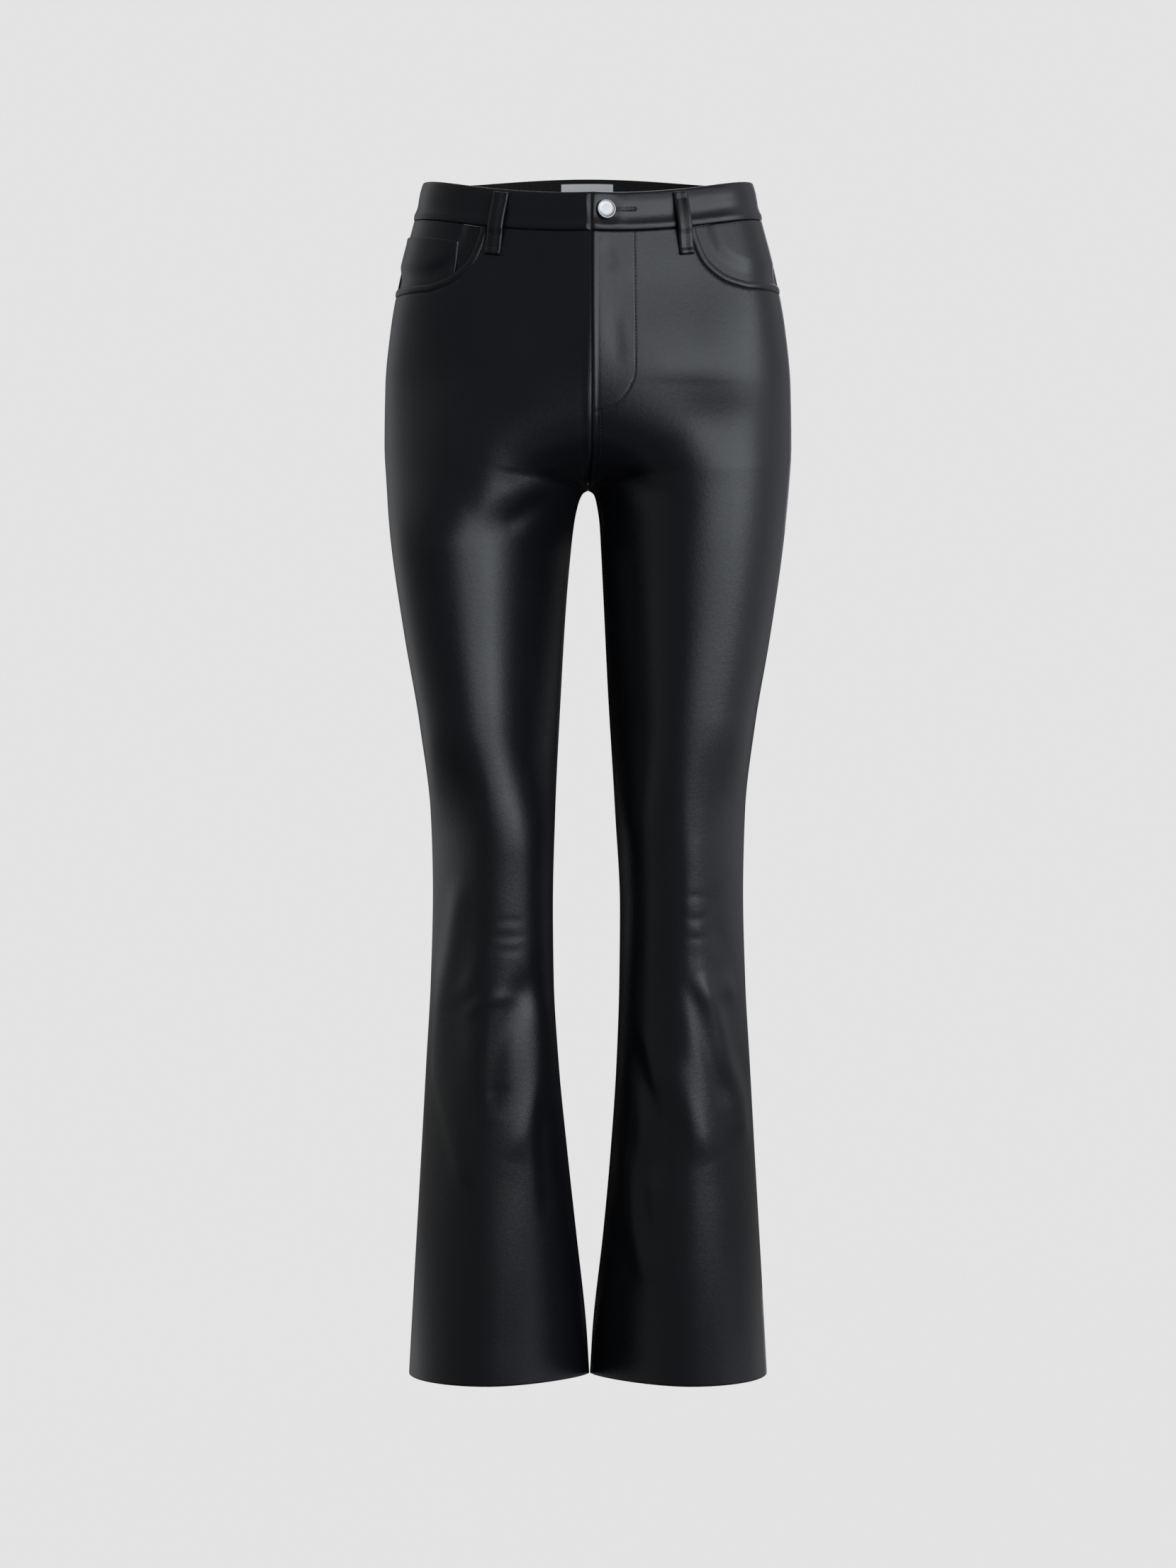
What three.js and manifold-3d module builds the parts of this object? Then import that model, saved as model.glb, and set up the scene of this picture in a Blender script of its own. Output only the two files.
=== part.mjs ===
// Black leather trousers with scoop pockets, a fly front and legs that flare from the knee.
// They are filled out as if worn, with no wearer: every panel is a wall round an open hollow.
// Millimetres. X runs to the wearer's left, Y to the back and Z up.
// The origin is the centre of the waist opening, level with its top edge at the side seams.

import * as THREE from 'three';
import { mergeVertices } from 'three/addons/utils/BufferGeometryUtils.js';
import Module from 'manifold-3d';

const wasm = await Module();
wasm.setup();

// Driving dimensions
const WALL = 1.6;
const GAP = 0.3;
const BAND = { top: -2, bottom: -35, wall: 2.4, proud: 0.6, underlapColumns: 2.5, rows: 3 };
const WAIST_DROP = { front: -20, back: 18, roundness: 1.5, fadeFrom: -35, fadeTo: -200 };
const FORK = { y: -12, z: -271.5, level: -248 };
const SPLIT_FROM = { front: -185, back: -150 };
const ROUND_FROM = { front: -160, back: -125, sharpness: 1.5 };
const MERGE_LEVEL = -330;
const CREASED = { from: -590, to: -950 };
const HEM_LEVEL = -1042;
const PELVIS_FULLNESS = { centre: 0.62, front: 0.55, back: 0.6 };
// How full the arcs of a leg's section are at their ends: inner from the inseam, outer to the side
const LEG_ARCS = {
  thigh: { inner: [0.12, 0.56], outer: [0.56, 0.56] },
  knee: { inner: [0.12, 0.75], outer: [0.5, 0.12] },
  hem: { inner: [0.25, 0.42], outer: [0.56, 0.5] },
};
const KNEE = { level: -622, start: -470, full: -570, ease: -760 };
const OUTERMOST = { thigh: 0.5, hem: 0.555 };
// The right thigh is turned outward: its depth leans across by this share of its width
const TURN = { right: 0.42, left: 0, start: -250, full: -330, ease: -500, end: -610 };
// The front slopes away from the fly at the waist
const SLOPE = { depth: 13, reach: 42, fadeFrom: -95, fadeTo: -185, sideFrom: 0.4, sideTo: 0.85 };
const FLY = { shift: 3.3, reach: 60, top: -240, underlayTo: -180 };
const YOKE = { centre: -105, side: -67 };
const SCOOP = {
  lowerOnRight: 3,
  lowerFrom: 90,
  lowerOver: 60,
  flat: 7,
  slope: 14,
  facingTo: -118,
  facingFrom: 0.42,
  fineness: 2,
  prism: 200,
};
const COIN_POCKET = { wall: 1.2, top: -50.5, bottom: -104, inner: 0.58, outer: 0.965 };
const BUTTON = {
  station: 11.7,
  level: -17,
  radius: 8.2,
  depth: 2.6,
  stem: 2.5,
  rim: 0.9,
  bevel: 0.4,
  sides: 28,
};
const BUTTONHOLE = { eye: 3.1, to: 35, slit: 0.8, sides: 20, cutter: 8 };
const LOOP = {
  width: 13.5,
  wall: 2,
  arch: 2.2,
  top: -5,
  bottom: -60,
  end: 0.12,
  step: 8,
  roundness: 0.8,
  lean: 4,
};
const BACK_LOOP_SHARE = 0.58;
const LABEL = { left: 22.5, right: -24.1, top: -6, bottom: -31, wall: 0.6 };
const COLUMNS = { front: 14, back: 12 };
const FOLD_FADE = 0.14;
const FOLD_TAPER = 1.6;
const ARC_STEPS = 24;
const SECTION_POINTS = 49;
const PROBE = { column: 0.01, level: 1 };
const ROWS = { hip: 9, fork: 6, merge: 6, thigh: 7, shin: 16, hem: 2, yoke: 4 };

// Sections from waist to hem: half width at the side seam, and depth at the front and back
const SECTIONS = [
  { level: 0, outer: 143.0, front: 88, back: 92 },
  { level: -35, outer: 151.8, front: 90, back: 97 },
  { level: -80, outer: 163.4, front: 92, back: 105 },
  { level: -130, outer: 172.5, front: 93, back: 113 },
  { level: -180, outer: 177.2, front: 91, back: 117.5 },
  { level: -230, outer: 177.9, front: 86, back: 114 },
  { level: -275, outer: 175.2, front: 82.5, back: 99 },
  { level: -325, outer: 169.9, front: 80.5, back: 86 },
  { level: -400, outer: 158.9, front: 77, back: 79 },
  { level: -475, outer: 146.1, front: 74.5, back: 71 },
  { level: -550, outer: 137.5, front: 69.5, back: 63 },
  { level: -622, outer: 135.8, front: 64, back: 59 },
  { level: -700, outer: 137.7, front: 61.5, back: 64 },
  { level: -770, outer: 141.6, front: 63, back: 70 },
  { level: -850, outer: 145.9, front: 67, back: 74 },
  { level: -950, outer: 151.5, front: 74, back: 78 },
  { level: HEM_LEVEL, outer: 156.5, front: 80, back: 80 },
];

// Inseams from fork to hem: distance of each leg's inner edge from the middle, and its depth
const INSEAMS = [
  { z: FORK.z, right: 0.15, left: 0.15, y: FORK.y },
  { z: -273, right: 3.4, left: 3.4, y: -11.9 },
  { z: -275.5, right: 5.3, left: 5.3, y: -11.7 },
  { z: -284, right: 8.6, left: 7.6, y: -11 },
  { z: -300, right: 12.1, left: 10, y: -10 },
  { z: -325, right: 15.2, left: 11.5, y: -8 },
  { z: -375, right: 19.5, left: 14, y: -5 },
  { z: -450, right: 23.9, left: 17.7, y: -2 },
  { z: -550, right: 28.8, left: 23.9, y: 0 },
  { z: -635, right: 30.8, left: 28.2, y: 0 },
  { z: -700, right: 30, left: 27.6, y: 0 },
  { z: -770, right: 25.8, left: 25.2, y: 0 },
  { z: -850, right: 17.9, left: 19.8, y: 0 },
  { z: -920, right: 10.2, left: 13.3, y: 0 },
  { z: -1000, right: 1.5, left: 4.4, y: 0 },
  { z: HEM_LEVEL, right: -1.1, left: 1.9, y: 0 },
];

// Edge of the left scoop pocket, from the waistband seam to the side seam, seen from the front
const SCOOP_EDGE = [
  { x: 91, z: -30 },
  { x: 92.5, z: -48.8 },
  { x: 97.5, z: -64.3 },
  { x: 104.2, z: -76.8 },
  { x: 117.2, z: -87.5 },
  { x: 130.3, z: -92 },
  { x: 146, z: -93.5 },
  { x: 190, z: -93.5 },
];

// Largest folds: a soft ridge (height above 0) or trough along a line on one face of one leg
const FOLDS = [
  { side: 'right', face: 'front', from: [-31, -278], to: [-76, -310], width: 9, height: -3.4 },
  { side: 'right', face: 'front', from: [-28, -262], to: [-101, -295], width: 15, height: 2.2 },
  { side: 'left', face: 'front', from: [19, -256], to: [68, -288], width: 10, height: -2.2 },
  { side: 'right', face: 'front', from: [-108, -606], to: [-129, -727], width: 9, height: 2.6 },
  { side: 'right', face: 'front', from: [-129, -727], to: [-103, -876], width: 9, height: 2.6 },
  { side: 'right', face: 'front', from: [-110, -707], to: [-96, -834], width: 11, height: -1.3 },
  { side: 'right', face: 'front', from: [-46, -686], to: [-78, -761], width: 13, height: -2.7 },
  { side: 'right', face: 'front', from: [-78, -761], to: [-84, -815], width: 12, height: -2.2 },
  { side: 'right', face: 'front', from: [-38, -705], to: [-43, -790], width: 12, height: 2.2 },
  { side: 'right', face: 'front', from: [-43, -790], to: [-65, -852], width: 12, height: 2 },
  { side: 'right', face: 'front', from: [-39, -793], to: [-34, -909], width: 8, height: -1.5 },
  { side: 'left', face: 'front', from: [94, -689], to: [117, -762], width: 9, height: 3 },
  { side: 'left', face: 'front', from: [117, -762], to: [136, -843], width: 9, height: 3 },
  { side: 'left', face: 'front', from: [86, -691], to: [122, -809], width: 8, height: -1.8 },
  { side: 'left', face: 'front', from: [69, -758], to: [105, -852], width: 13, height: 2.2 },
  { side: 'left', face: 'front', from: [32, -739], to: [56, -816], width: 10, height: -3 },
  { side: 'left', face: 'front', from: [56, -816], to: [56, -877], width: 10, height: -2.4 },
  { side: 'left', face: 'front', from: [31, -837], to: [53, -959], width: 9, height: 2.4 },
  { side: 'right', face: 'back', from: [-30, -280], to: [-118, -300], width: 10, height: -4 },
  { side: 'right', face: 'back', from: [-34, -316], to: [-96, -336], width: 9, height: -2.5 },
  { side: 'left', face: 'back', from: [28, -284], to: [112, -297], width: 10, height: -4 },
  { side: 'left', face: 'back', from: [32, -322], to: [90, -334], width: 9, height: -2.5 },
  { side: 'right', face: 'back', from: [-48, -600], to: [-122, -622], width: 10, height: -4 },
  { side: 'right', face: 'back', from: [-52, -652], to: [-116, -640], width: 9, height: -3 },
  { side: 'left', face: 'back', from: [44, -606], to: [118, -626], width: 10, height: -4 },
  { side: 'left', face: 'back', from: [50, -660], to: [120, -646], width: 9, height: -3 },
  { side: 'right', face: 'back', from: [-56, -690], to: [-96, -800], width: 11, height: 3 },
  { side: 'left', face: 'back', from: [96, -694], to: [62, -806], width: 11, height: 3 },
];

// Small helpers
const clamp = (v, lo, hi) => Math.min(hi, Math.max(lo, v));
const lerp = (a, b, t) => a + (b - a) * t;
const smooth = (t) => { const u = clamp(t, 0, 1); return u * u * (3 - 2 * u); };
const sign = (side) => (side === 'left' ? 1 : -1);
const outward = (face) => (face === 'back' ? 1 : -1);

// A smooth curve through one column of a table, with no overshoot between its rows
function curveThrough(table, key, column) {
  const rows = [...table].sort((a, b) => a[key] - b[key]);
  const x = rows.map((row) => row[key]);
  const y = rows.map((row) => row[column]);
  const slope = x.slice(1).map((v, i) => (y[i + 1] - y[i]) / (v - x[i]));
  const tangent = x.map((v, i) => {
    if (i === 0) return slope[0];
    if (i === x.length - 1) return slope[i - 1];
    if (slope[i - 1] * slope[i] <= 0) return 0;
    return 2 * slope[i - 1] * slope[i] / (slope[i - 1] + slope[i]);
  });
  return (at) => {
    const v = clamp(at, x[0], x[x.length - 1]);
    let i = 0;
    while (i < x.length - 2 && v > x[i + 1]) i += 1;
    const h = x[i + 1] - x[i];
    const t = (v - x[i]) / h;
    const t2 = t * t;
    const t3 = t2 * t;
    return (2 * t3 - 3 * t2 + 1) * y[i] + (t3 - 2 * t2 + t) * h * tangent[i]
      + (3 * t2 - 2 * t3) * y[i + 1] + (t3 - t2) * h * tangent[i + 1];
  };
}

const outerAt = curveThrough(SECTIONS, 'level', 'outer');
const depthAt = {
  front: curveThrough(SECTIONS, 'level', 'front'),
  back: curveThrough(SECTIONS, 'level', 'back'),
};
const inseamAt = {
  right: curveThrough(INSEAMS, 'z', 'right'),
  left: curveThrough(INSEAMS, 'z', 'left'),
};
const inseamDepthAt = curveThrough(INSEAMS, 'z', 'y');

// A quarter arc between two points, leaving the first along X or along Y
function quarterArc(a, b, alongX, fullA, fullB) {
  const p1 = alongX ? [lerp(a[0], b[0], fullA), a[1]] : [a[0], lerp(a[1], b[1], fullA)];
  const p2 = alongX ? [b[0], lerp(b[1], a[1], fullB)] : [lerp(b[0], a[0], fullB), b[1]];
  const points = [];
  for (let i = 0; i <= ARC_STEPS; i += 1) {
    const t = i / ARC_STEPS;
    const u = 1 - t;
    points.push([0, 1].map((k) => (
      u * u * u * a[k] + 3 * u * u * t * p1[k] + 3 * u * t * t * p2[k] + t * t * t * b[k])));
  }
  return points;
}

// The same line with its points evenly spaced
function evenly(points) {
  const length = [0];
  for (let i = 1; i < points.length; i += 1) {
    const step = Math.hypot(points[i][0] - points[i - 1][0], points[i][1] - points[i - 1][1]);
    length.push(length[i - 1] + step);
  }
  const total = length[length.length - 1];
  const result = [];
  let i = 0;
  for (let k = 0; k < SECTION_POINTS; k += 1) {
    const at = total * k / (SECTION_POINTS - 1);
    while (i < points.length - 2 && length[i + 1] < at) i += 1;
    const t = clamp((at - length[i]) / (length[i + 1] - length[i]), 0, 1);
    result.push([lerp(points[i][0], points[i + 1][0], t), lerp(points[i][1], points[i + 1][1], t)]);
  }
  return result;
}

// How far a level has parted into legs (0 on the pelvis, 1 below the fork), and its centre height
function parting(face, level) {
  const from = SPLIT_FROM[face];
  const t = clamp((from - level) / (from - FORK.level), 0, 1);
  let centre = level;
  if (level < from && level >= FORK.level) {
    centre = from - (from - FORK.z) * Math.sin(Math.PI * t / 2);
  } else if (level < FORK.level && level > MERGE_LEVEL) {
    centre = lerp(FORK.z, MERGE_LEVEL, (FORK.level - level) / (FORK.level - MERGE_LEVEL));
  }
  const round = clamp((ROUND_FROM[face] - level) / (ROUND_FROM[face] - FORK.level), 0, 1);
  return { weight: (1 - Math.cos(Math.PI * round / 2)) ** ROUND_FROM.sharpness, centre };
}

// How much the depth of one leg leans across at a level
function turned(side, level) {
  const onset = smooth((TURN.start - level) / (TURN.start - TURN.full));
  const ease = smooth((TURN.ease - level) / (TURN.ease - TURN.end));
  return -TURN[side] * onset * (1 - ease);
}

// How full one arc of a leg's section is at its two ends
function arcEnds(part, level) {
  const below = smooth((KNEE.start - level) / (KNEE.start - KNEE.full));
  const flared = smooth((KNEE.ease - level) / (KNEE.ease - HEM_LEVEL));
  return [0, 1].map((end) => {
    const upper = lerp(LEG_ARCS.thigh[part][end], LEG_ARCS.knee[part][end], below);
    return lerp(upper, LEG_ARCS.hem[part][end], flared);
  });
}

// One half section: from the centre or inseam (first point) round to the side seam (last point).
// Its x is measured outwards from the middle of the body.
const sectionCache = new Map();
function halfSection(side, face, level) {
  const key = `${side} ${face} ${level.toFixed(4)}`;
  if (sectionCache.has(key)) return sectionCache.get(key);
  const { weight, centre } = parting(face, level);
  const out = outward(face);
  const depth = depthAt[face](level);
  const seam = [outerAt(level), out * GAP / 2];
  const inner = level > FORK.level ? GAP / 2 : inseamAt[side](centre);
  const middle = [GAP / 2, out * depth];
  const full = PELVIS_FULLNESS;
  const pelvis = evenly(quarterArc(middle, seam, true, full.centre, full[face]));
  const flared = smooth((KNEE.level - level) / (KNEE.level - HEM_LEVEL));
  const across = lerp(OUTERMOST.thigh, OUTERMOST.hem, flared);
  const outermost = [lerp(inner, seam[0], across), out * depth];
  const legInner = [inner, inseamDepthAt(centre) + out * GAP / 2];
  const leg = evenly([
    ...quarterArc(legInner, outermost, false, ...arcEnds('inner', level)),
    ...quarterArc(outermost, seam, true, ...arcEnds('outer', level)).slice(1),
  ]);
  const blend = pelvis.map((p, i) => [lerp(p[0], leg[i][0], weight), lerp(p[1], leg[i][1], weight)]);
  const reach = Math.max(...blend.map((p) => out * p[1]));
  const section = evenly(blend.map((p) => [p[0], p[1] * depth / reach]));
  section[0][0] = inner;
  const lean = turned(side, level);
  for (const p of section) p[1] += lean * (p[0] - (inner + seam[0]) / 2);
  sectionCache.set(key, section);
  return section;
}

// How far the front lies back from the fly line at a point
function slopeBack(c, level, x) {
  const low = smooth((SLOPE.fadeFrom - level) / (SLOPE.fadeFrom - SLOPE.fadeTo));
  const sideways = smooth((c - SLOPE.sideFrom) / (SLOPE.sideTo - SLOPE.sideFrom));
  return SLOPE.depth * (1 - low) * (1 - sideways) * (1 - Math.exp(-x / SLOPE.reach));
}

// A point of the garment's outer surface: c runs from the centre or inseam (0) to the side seam (1)
function surfacePoint(side, face, c, level) {
  const section = halfSection(side, face, level);
  const at = clamp(c, 0, 1) * (section.length - 1);
  const i = Math.min(Math.floor(at), section.length - 2);
  const x = lerp(section[i][0], section[i + 1][0], at - i);
  const y = lerp(section[i][1], section[i + 1][1], at - i);
  const { centre } = parting(face, level);
  const back = face === 'front' ? slopeBack(c, level, x) : 0;
  const fade = 1 - smooth((WAIST_DROP.fadeFrom - level) / (WAIST_DROP.fadeFrom - WAIST_DROP.fadeTo));
  const drop = WAIST_DROP[face] * fade * Math.cos(Math.PI * c / 2) ** WAIST_DROP.roundness;
  const z = level + (centre - level) * (1 - c) ** 2 + drop;
  const onFly = face === 'front' && level > FORK.level;
  const shifted = onFly ? smooth((centre - FORK.z) / (FLY.top - FORK.z)) : 0;
  const shift = FLY.shift * shifted * Math.exp(-((x / FLY.reach) ** 2));
  return new THREE.Vector3(sign(side) * x + shift, y + back, z);
}

// Outward normal of the plain surface
function surfaceNormal(side, face, c, level) {
  const [c0, c1] = [Math.max(c - PROBE.column, 0), Math.min(c + PROBE.column, 1)];
  const [below, above] = [level - PROBE.level, level + PROBE.level];
  const u = surfacePoint(side, face, c1, level).sub(surfacePoint(side, face, c0, level));
  const v = surfacePoint(side, face, c, below).sub(surfacePoint(side, face, c, above));
  const n = u.cross(v).multiplyScalar(sign(side) * outward(face));
  if (c === 0) n.x = 0;
  if (c === 1) n.y = 0;
  return n.normalize();
}

// Length of a half section
function sectionLength(side, face, level) {
  const section = halfSection(side, face, level);
  const step = (p, i) => Math.hypot(p[0] - section[i][0], p[1] - section[i][1]);
  return section.slice(1).reduce((sum, p, i) => sum + step(p, i), 0);
}

// A point at a distance round the body from the centre line (plus to the wearer's left), moved
// out by `out`
function stationPoint(face, station, level, out) {
  const side = station < 0 ? 'right' : 'left';
  const c = Math.abs(station) / sectionLength(side, face, level);
  return surfacePoint(side, face, c, level).addScaledVector(surfaceNormal(side, face, c, level), out);
}

// A turned geometry stood on the surface, its Y axis pointing out
function standOn(geometry, face, station, level) {
  const foot = stationPoint(face, station, level, 0);
  const out = stationPoint(face, station, level, 1).sub(foot).normalize();
  const turn = new THREE.Quaternion().setFromUnitVectors(new THREE.Vector3(0, 1, 0), out);
  return geometry.applyQuaternion(turn).translate(foot.x, foot.y, foot.z);
}

// How far the folds lift or sink the surface at a point, fading out at the seams
function foldHeight(side, face, c, point) {
  const fromSeams = smooth(c / FOLD_FADE) * smooth((1 - c) / FOLD_FADE);
  let height = 0;
  for (const fold of FOLDS) {
    if (fold.side !== side || fold.face !== face) continue;
    const dx = fold.to[0] - fold.from[0];
    const dz = fold.to[1] - fold.from[1];
    const length = Math.hypot(dx, dz);
    const along = ((point.x - fold.from[0]) * dx + (point.z - fold.from[1]) * dz) / length;
    const across = ((point.x - fold.from[0]) * dz - (point.z - fold.from[1]) * dx) / length;
    const past = Math.max(0, -along, along - length);
    const faded = (across / fold.width) ** 2 + (past / (FOLD_TAPER * fold.width)) ** 2;
    height += fold.height * Math.exp(-faded);
  }
  return height * fromSeams;
}

// Outward normals of a grid of points. The edges are squared to the planes of their seams, so
// that neighbouring panels meet face to face.
function gridNormals(points, turn, centreLevels) {
  const rows = points.length;
  const columns = points[0].length;
  return points.map((row, r) => row.map((p, j) => {
    const u = points[r][Math.min(j + 1, columns - 1)].clone().sub(points[r][Math.max(j - 1, 0)]);
    const v = points[Math.min(r + 1, rows - 1)][j].clone().sub(points[Math.max(r - 1, 0)][j]);
    const n = u.cross(v).multiplyScalar(turn);
    const across = new THREE.Vector3(0, v.z, -v.y).normalize();
    const onLegSeam = j === columns - 1 || (j === 0 && centreLevels[r] < FORK.level);
    if (onLegSeam) n.addScaledVector(across, -n.dot(across));
    if (j === 0 && centreLevels[r] > FORK.level) n.x = 0;
    if (j === 0 && centreLevels[r] === FORK.level) n.set(0, 0, -1);
    return n.normalize();
  }));
}

// A panel as a grid of outer points with their normals: one row for each level
function panelGrid(side, face, levels) {
  const columns = Array.from({ length: COLUMNS[face] + 1 }, (_, j) => j / COLUMNS[face]);
  const levelAt = (row, c) => (typeof row === 'function' ? row(c) : row);
  const turn = sign(side) * outward(face);
  const centreLevels = levels.map((row) => levelAt(row, 0));
  const base = levels.map((row) => columns.map((c) => surfacePoint(side, face, c, levelAt(row, c))));
  const baseNormals = gridNormals(base, turn, centreLevels);
  const points = base.map((row, r) => row.map((p, j) => (
    p.clone().addScaledVector(baseNormals[r][j], foldHeight(side, face, columns[j], p)))));
  return { levels, points, normals: gridNormals(points, turn, centreLevels) };
}

// A point on the flat facets of a grid, at fractions of its columns and rows, moved out by `out`
function onGrid(grid, column, row, out) {
  const j = Math.min(Math.floor(column), grid.points[0].length - 2);
  const r = Math.min(Math.floor(row), grid.points.length - 2);
  const mix = (field) => {
    const top = field[r][j].clone().lerp(field[r][j + 1], column - j);
    const low = field[r + 1][j].clone().lerp(field[r + 1][j + 1], column - j);
    return top.lerp(low, row - r);
  };
  return mix(grid.points).addScaledVector(mix(grid.normals).normalize(), out);
}

// Closed wall between two grids of points
function wallGeometry(outer, inner) {
  const rows = outer.length;
  const columns = outer[0].length;
  const position = [];
  [...outer, ...inner].forEach((row) => row.forEach((p) => position.push(p.x, p.y, p.z)));
  const at = (sheet, r, j) => (sheet * rows + r) * columns + j;
  const index = [];
  const quad = (a, b, c, d) => index.push(a, b, c, a, c, d);
  for (let r = 0; r < rows - 1; r += 1) {
    for (let j = 0; j < columns - 1; j += 1) {
      quad(at(0, r, j), at(0, r, j + 1), at(0, r + 1, j + 1), at(0, r + 1, j));
      const [a, b, c, d] = [at(1, r, j), at(1, r, j + 1), at(1, r + 1, j + 1), at(1, r + 1, j)];
      index.push(a, c, b, a, d, c);
    }
  }
  for (let j = 0; j < columns - 1; j += 1) {
    quad(at(1, 0, j), at(1, 0, j + 1), at(0, 0, j + 1), at(0, 0, j));
    quad(at(0, rows - 1, j), at(0, rows - 1, j + 1), at(1, rows - 1, j + 1), at(1, rows - 1, j));
  }
  for (let r = 0; r < rows - 1; r += 1) {
    const last = columns - 1;
    quad(at(0, r, 0), at(0, r + 1, 0), at(1, r + 1, 0), at(1, r, 0));
    quad(at(1, r, last), at(1, r + 1, last), at(0, r + 1, last), at(0, r, last));
  }
  return facingOut(position, index);
}

// An indexed geometry whose triangles are turned so that its volume is positive
function facingOut(position, index) {
  let volume = 0;
  const corner = (i) => new THREE.Vector3().fromArray(position, 3 * i);
  for (let i = 0; i < index.length; i += 3) {
    volume += corner(index[i]).dot(corner(index[i + 1]).cross(corner(index[i + 2])));
  }
  if (volume < 0) {
    for (let i = 0; i < index.length; i += 3) {
      [index[i + 1], index[i + 2]] = [index[i + 2], index[i + 1]];
    }
  }
  const geometry = new THREE.BufferGeometry();
  geometry.setAttribute('position', new THREE.Float32BufferAttribute(position, 3));
  geometry.setIndex(index);
  return geometry;
}

// Boolean cuts
function toManifold(geometry) {
  const bare = geometry.clone();
  bare.deleteAttribute('normal');
  bare.deleteAttribute('uv');
  const merged = mergeVertices(bare, 1e-4);
  return new wasm.Manifold(new wasm.Mesh({
    numProp: 3,
    vertProperties: new Float32Array(merged.attributes.position.array),
    triVerts: new Uint32Array(merged.index.array),
  }));
}

function fromManifold(solid) {
  const mesh = solid.getMesh();
  const geometry = new THREE.BufferGeometry();
  geometry.setAttribute('position', new THREE.BufferAttribute(new Float32Array(mesh.vertProperties), 3));
  geometry.setIndex(new THREE.BufferAttribute(new Uint32Array(mesh.triVerts), 1));
  return geometry;
}

const cut = (geometry, ...tools) => fromManifold(
  tools.reduce((solid, tool) => solid.subtract(toManifold(tool)), toManifold(geometry)));

// Materials
const LEATHER = { color: 0x141416, roughness: 0.42, metalness: 0 };
const leather = new THREE.MeshStandardMaterial(LEATHER);
const labelCloth = new THREE.MeshStandardMaterial({ color: 0xc9c9c6, roughness: 0.8, metalness: 0 });
const brushedSteel = new THREE.MeshStandardMaterial({ color: 0xb9babd, roughness: 0.32, metalness: 1 });

const trousers = new THREE.Group();
trousers.name = 'leather_trousers';

function add(name, geometry, material = leather) {
  geometry.computeVertexNormals();
  const mesh = new THREE.Mesh(geometry, material);
  mesh.name = name;
  trousers.add(mesh);
  return mesh;
}

// Levels of the rows: close together at the pockets, the fork, the knee folds and the hem
const steps = (from, to, count) => Array.from({ length: count }, (_, i) => lerp(from, to, i / count));
const topLevel = BAND.bottom - GAP;
const forkLevels = (face) => steps(SPLIT_FROM[face], FORK.level, ROWS.fork);
const legLevels = [
  ...steps(FORK.level, MERGE_LEVEL, ROWS.merge),
  ...steps(MERGE_LEVEL, CREASED.from, ROWS.thigh),
  ...steps(CREASED.from, CREASED.to, ROWS.shin),
  ...steps(CREASED.to, HEM_LEVEL, ROWS.hem),
  HEM_LEVEL,
];
const hipLevels = steps(topLevel, SPLIT_FROM.front, ROWS.hip);
const frontLevels = [...hipLevels, ...forkLevels('front'), ...legLevels];
const yokeSeam = (c) => lerp(YOKE.side, YOKE.centre, 1 - c);
const belowYoke = (share) => (c) => lerp(yokeSeam(c) - GAP, SPLIT_FROM.back, share);
const backLevels = [...steps(0, 1, ROWS.yoke).map(belowYoke), ...forkLevels('back'), ...legLevels];
const yokeShares = [...steps(0, 1, ROWS.yoke), 1];
const yokeLevels = yokeShares.map((share) => (c) => lerp(topLevel, yokeSeam(c), share));

const moved = (grid, out) => grid.points.map((row, r) => row.map((p, j) => (
  p.clone().addScaledVector(grid.normals[r][j], out))));

// The scoop's edge on one side, as distances out from the middle and heights
function scoopEdge(side) {
  const lower = side === 'right' ? SCOOP.lowerOnRight : 0;
  return SCOOP_EDGE.map(({ x, z }) => (
    new THREE.Vector2(x, z - lower * smooth((x - SCOOP.lowerFrom) / SCOOP.lowerOver))));
}

// Front panels, each cut away along its scoop pocket
const frontGrid = {};
for (const side of ['right', 'left']) {
  const grid = panelGrid(side, 'front', frontLevels);
  frontGrid[side] = grid;
  const edge = scoopEdge(side);
  const outline = [...edge, new THREE.Vector2(edge[edge.length - 1].x, edge[0].y)];
  const opening = new THREE.Shape(outline.map((p) => new THREE.Vector2(sign(side) * p.x, p.y)));
  const extrusion = { depth: SCOOP.prism, bevelEnabled: false, steps: 1 };
  const prism = new THREE.ExtrudeGeometry(opening, extrusion);
  prism.rotateX(Math.PI / 2);
  add(`front_panel_${side}`, cut(wallGeometry(moved(grid, 0), moved(grid, -WALL)), prism));
}

// Back panels under a shaped yoke
for (const side of ['right', 'left']) {
  const grid = panelGrid(side, 'back', backLevels);
  add(`back_panel_${side}`, wallGeometry(moved(grid, 0), moved(grid, -WALL)));
  const yoke = panelGrid(side, 'back', yokeLevels);
  add(`back_yoke_${side}`, wallGeometry(moved(yoke, 0), moved(yoke, -WALL)));
}

// Distance from a point, seen from the front, to the edge of the scoop
function distanceToEdge(edge, x, z) {
  return Math.min(...edge.slice(1).map((b, i) => {
    const [dx, dz] = [b.x - edge[i].x, b.y - edge[i].y];
    const t = clamp(((x - edge[i].x) * dx + (z - edge[i].y) * dz) / (dx * dx + dz * dz), 0, 1);
    return Math.hypot(x - edge[i].x - t * dx, z - edge[i].y - t * dz);
  }));
}

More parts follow.
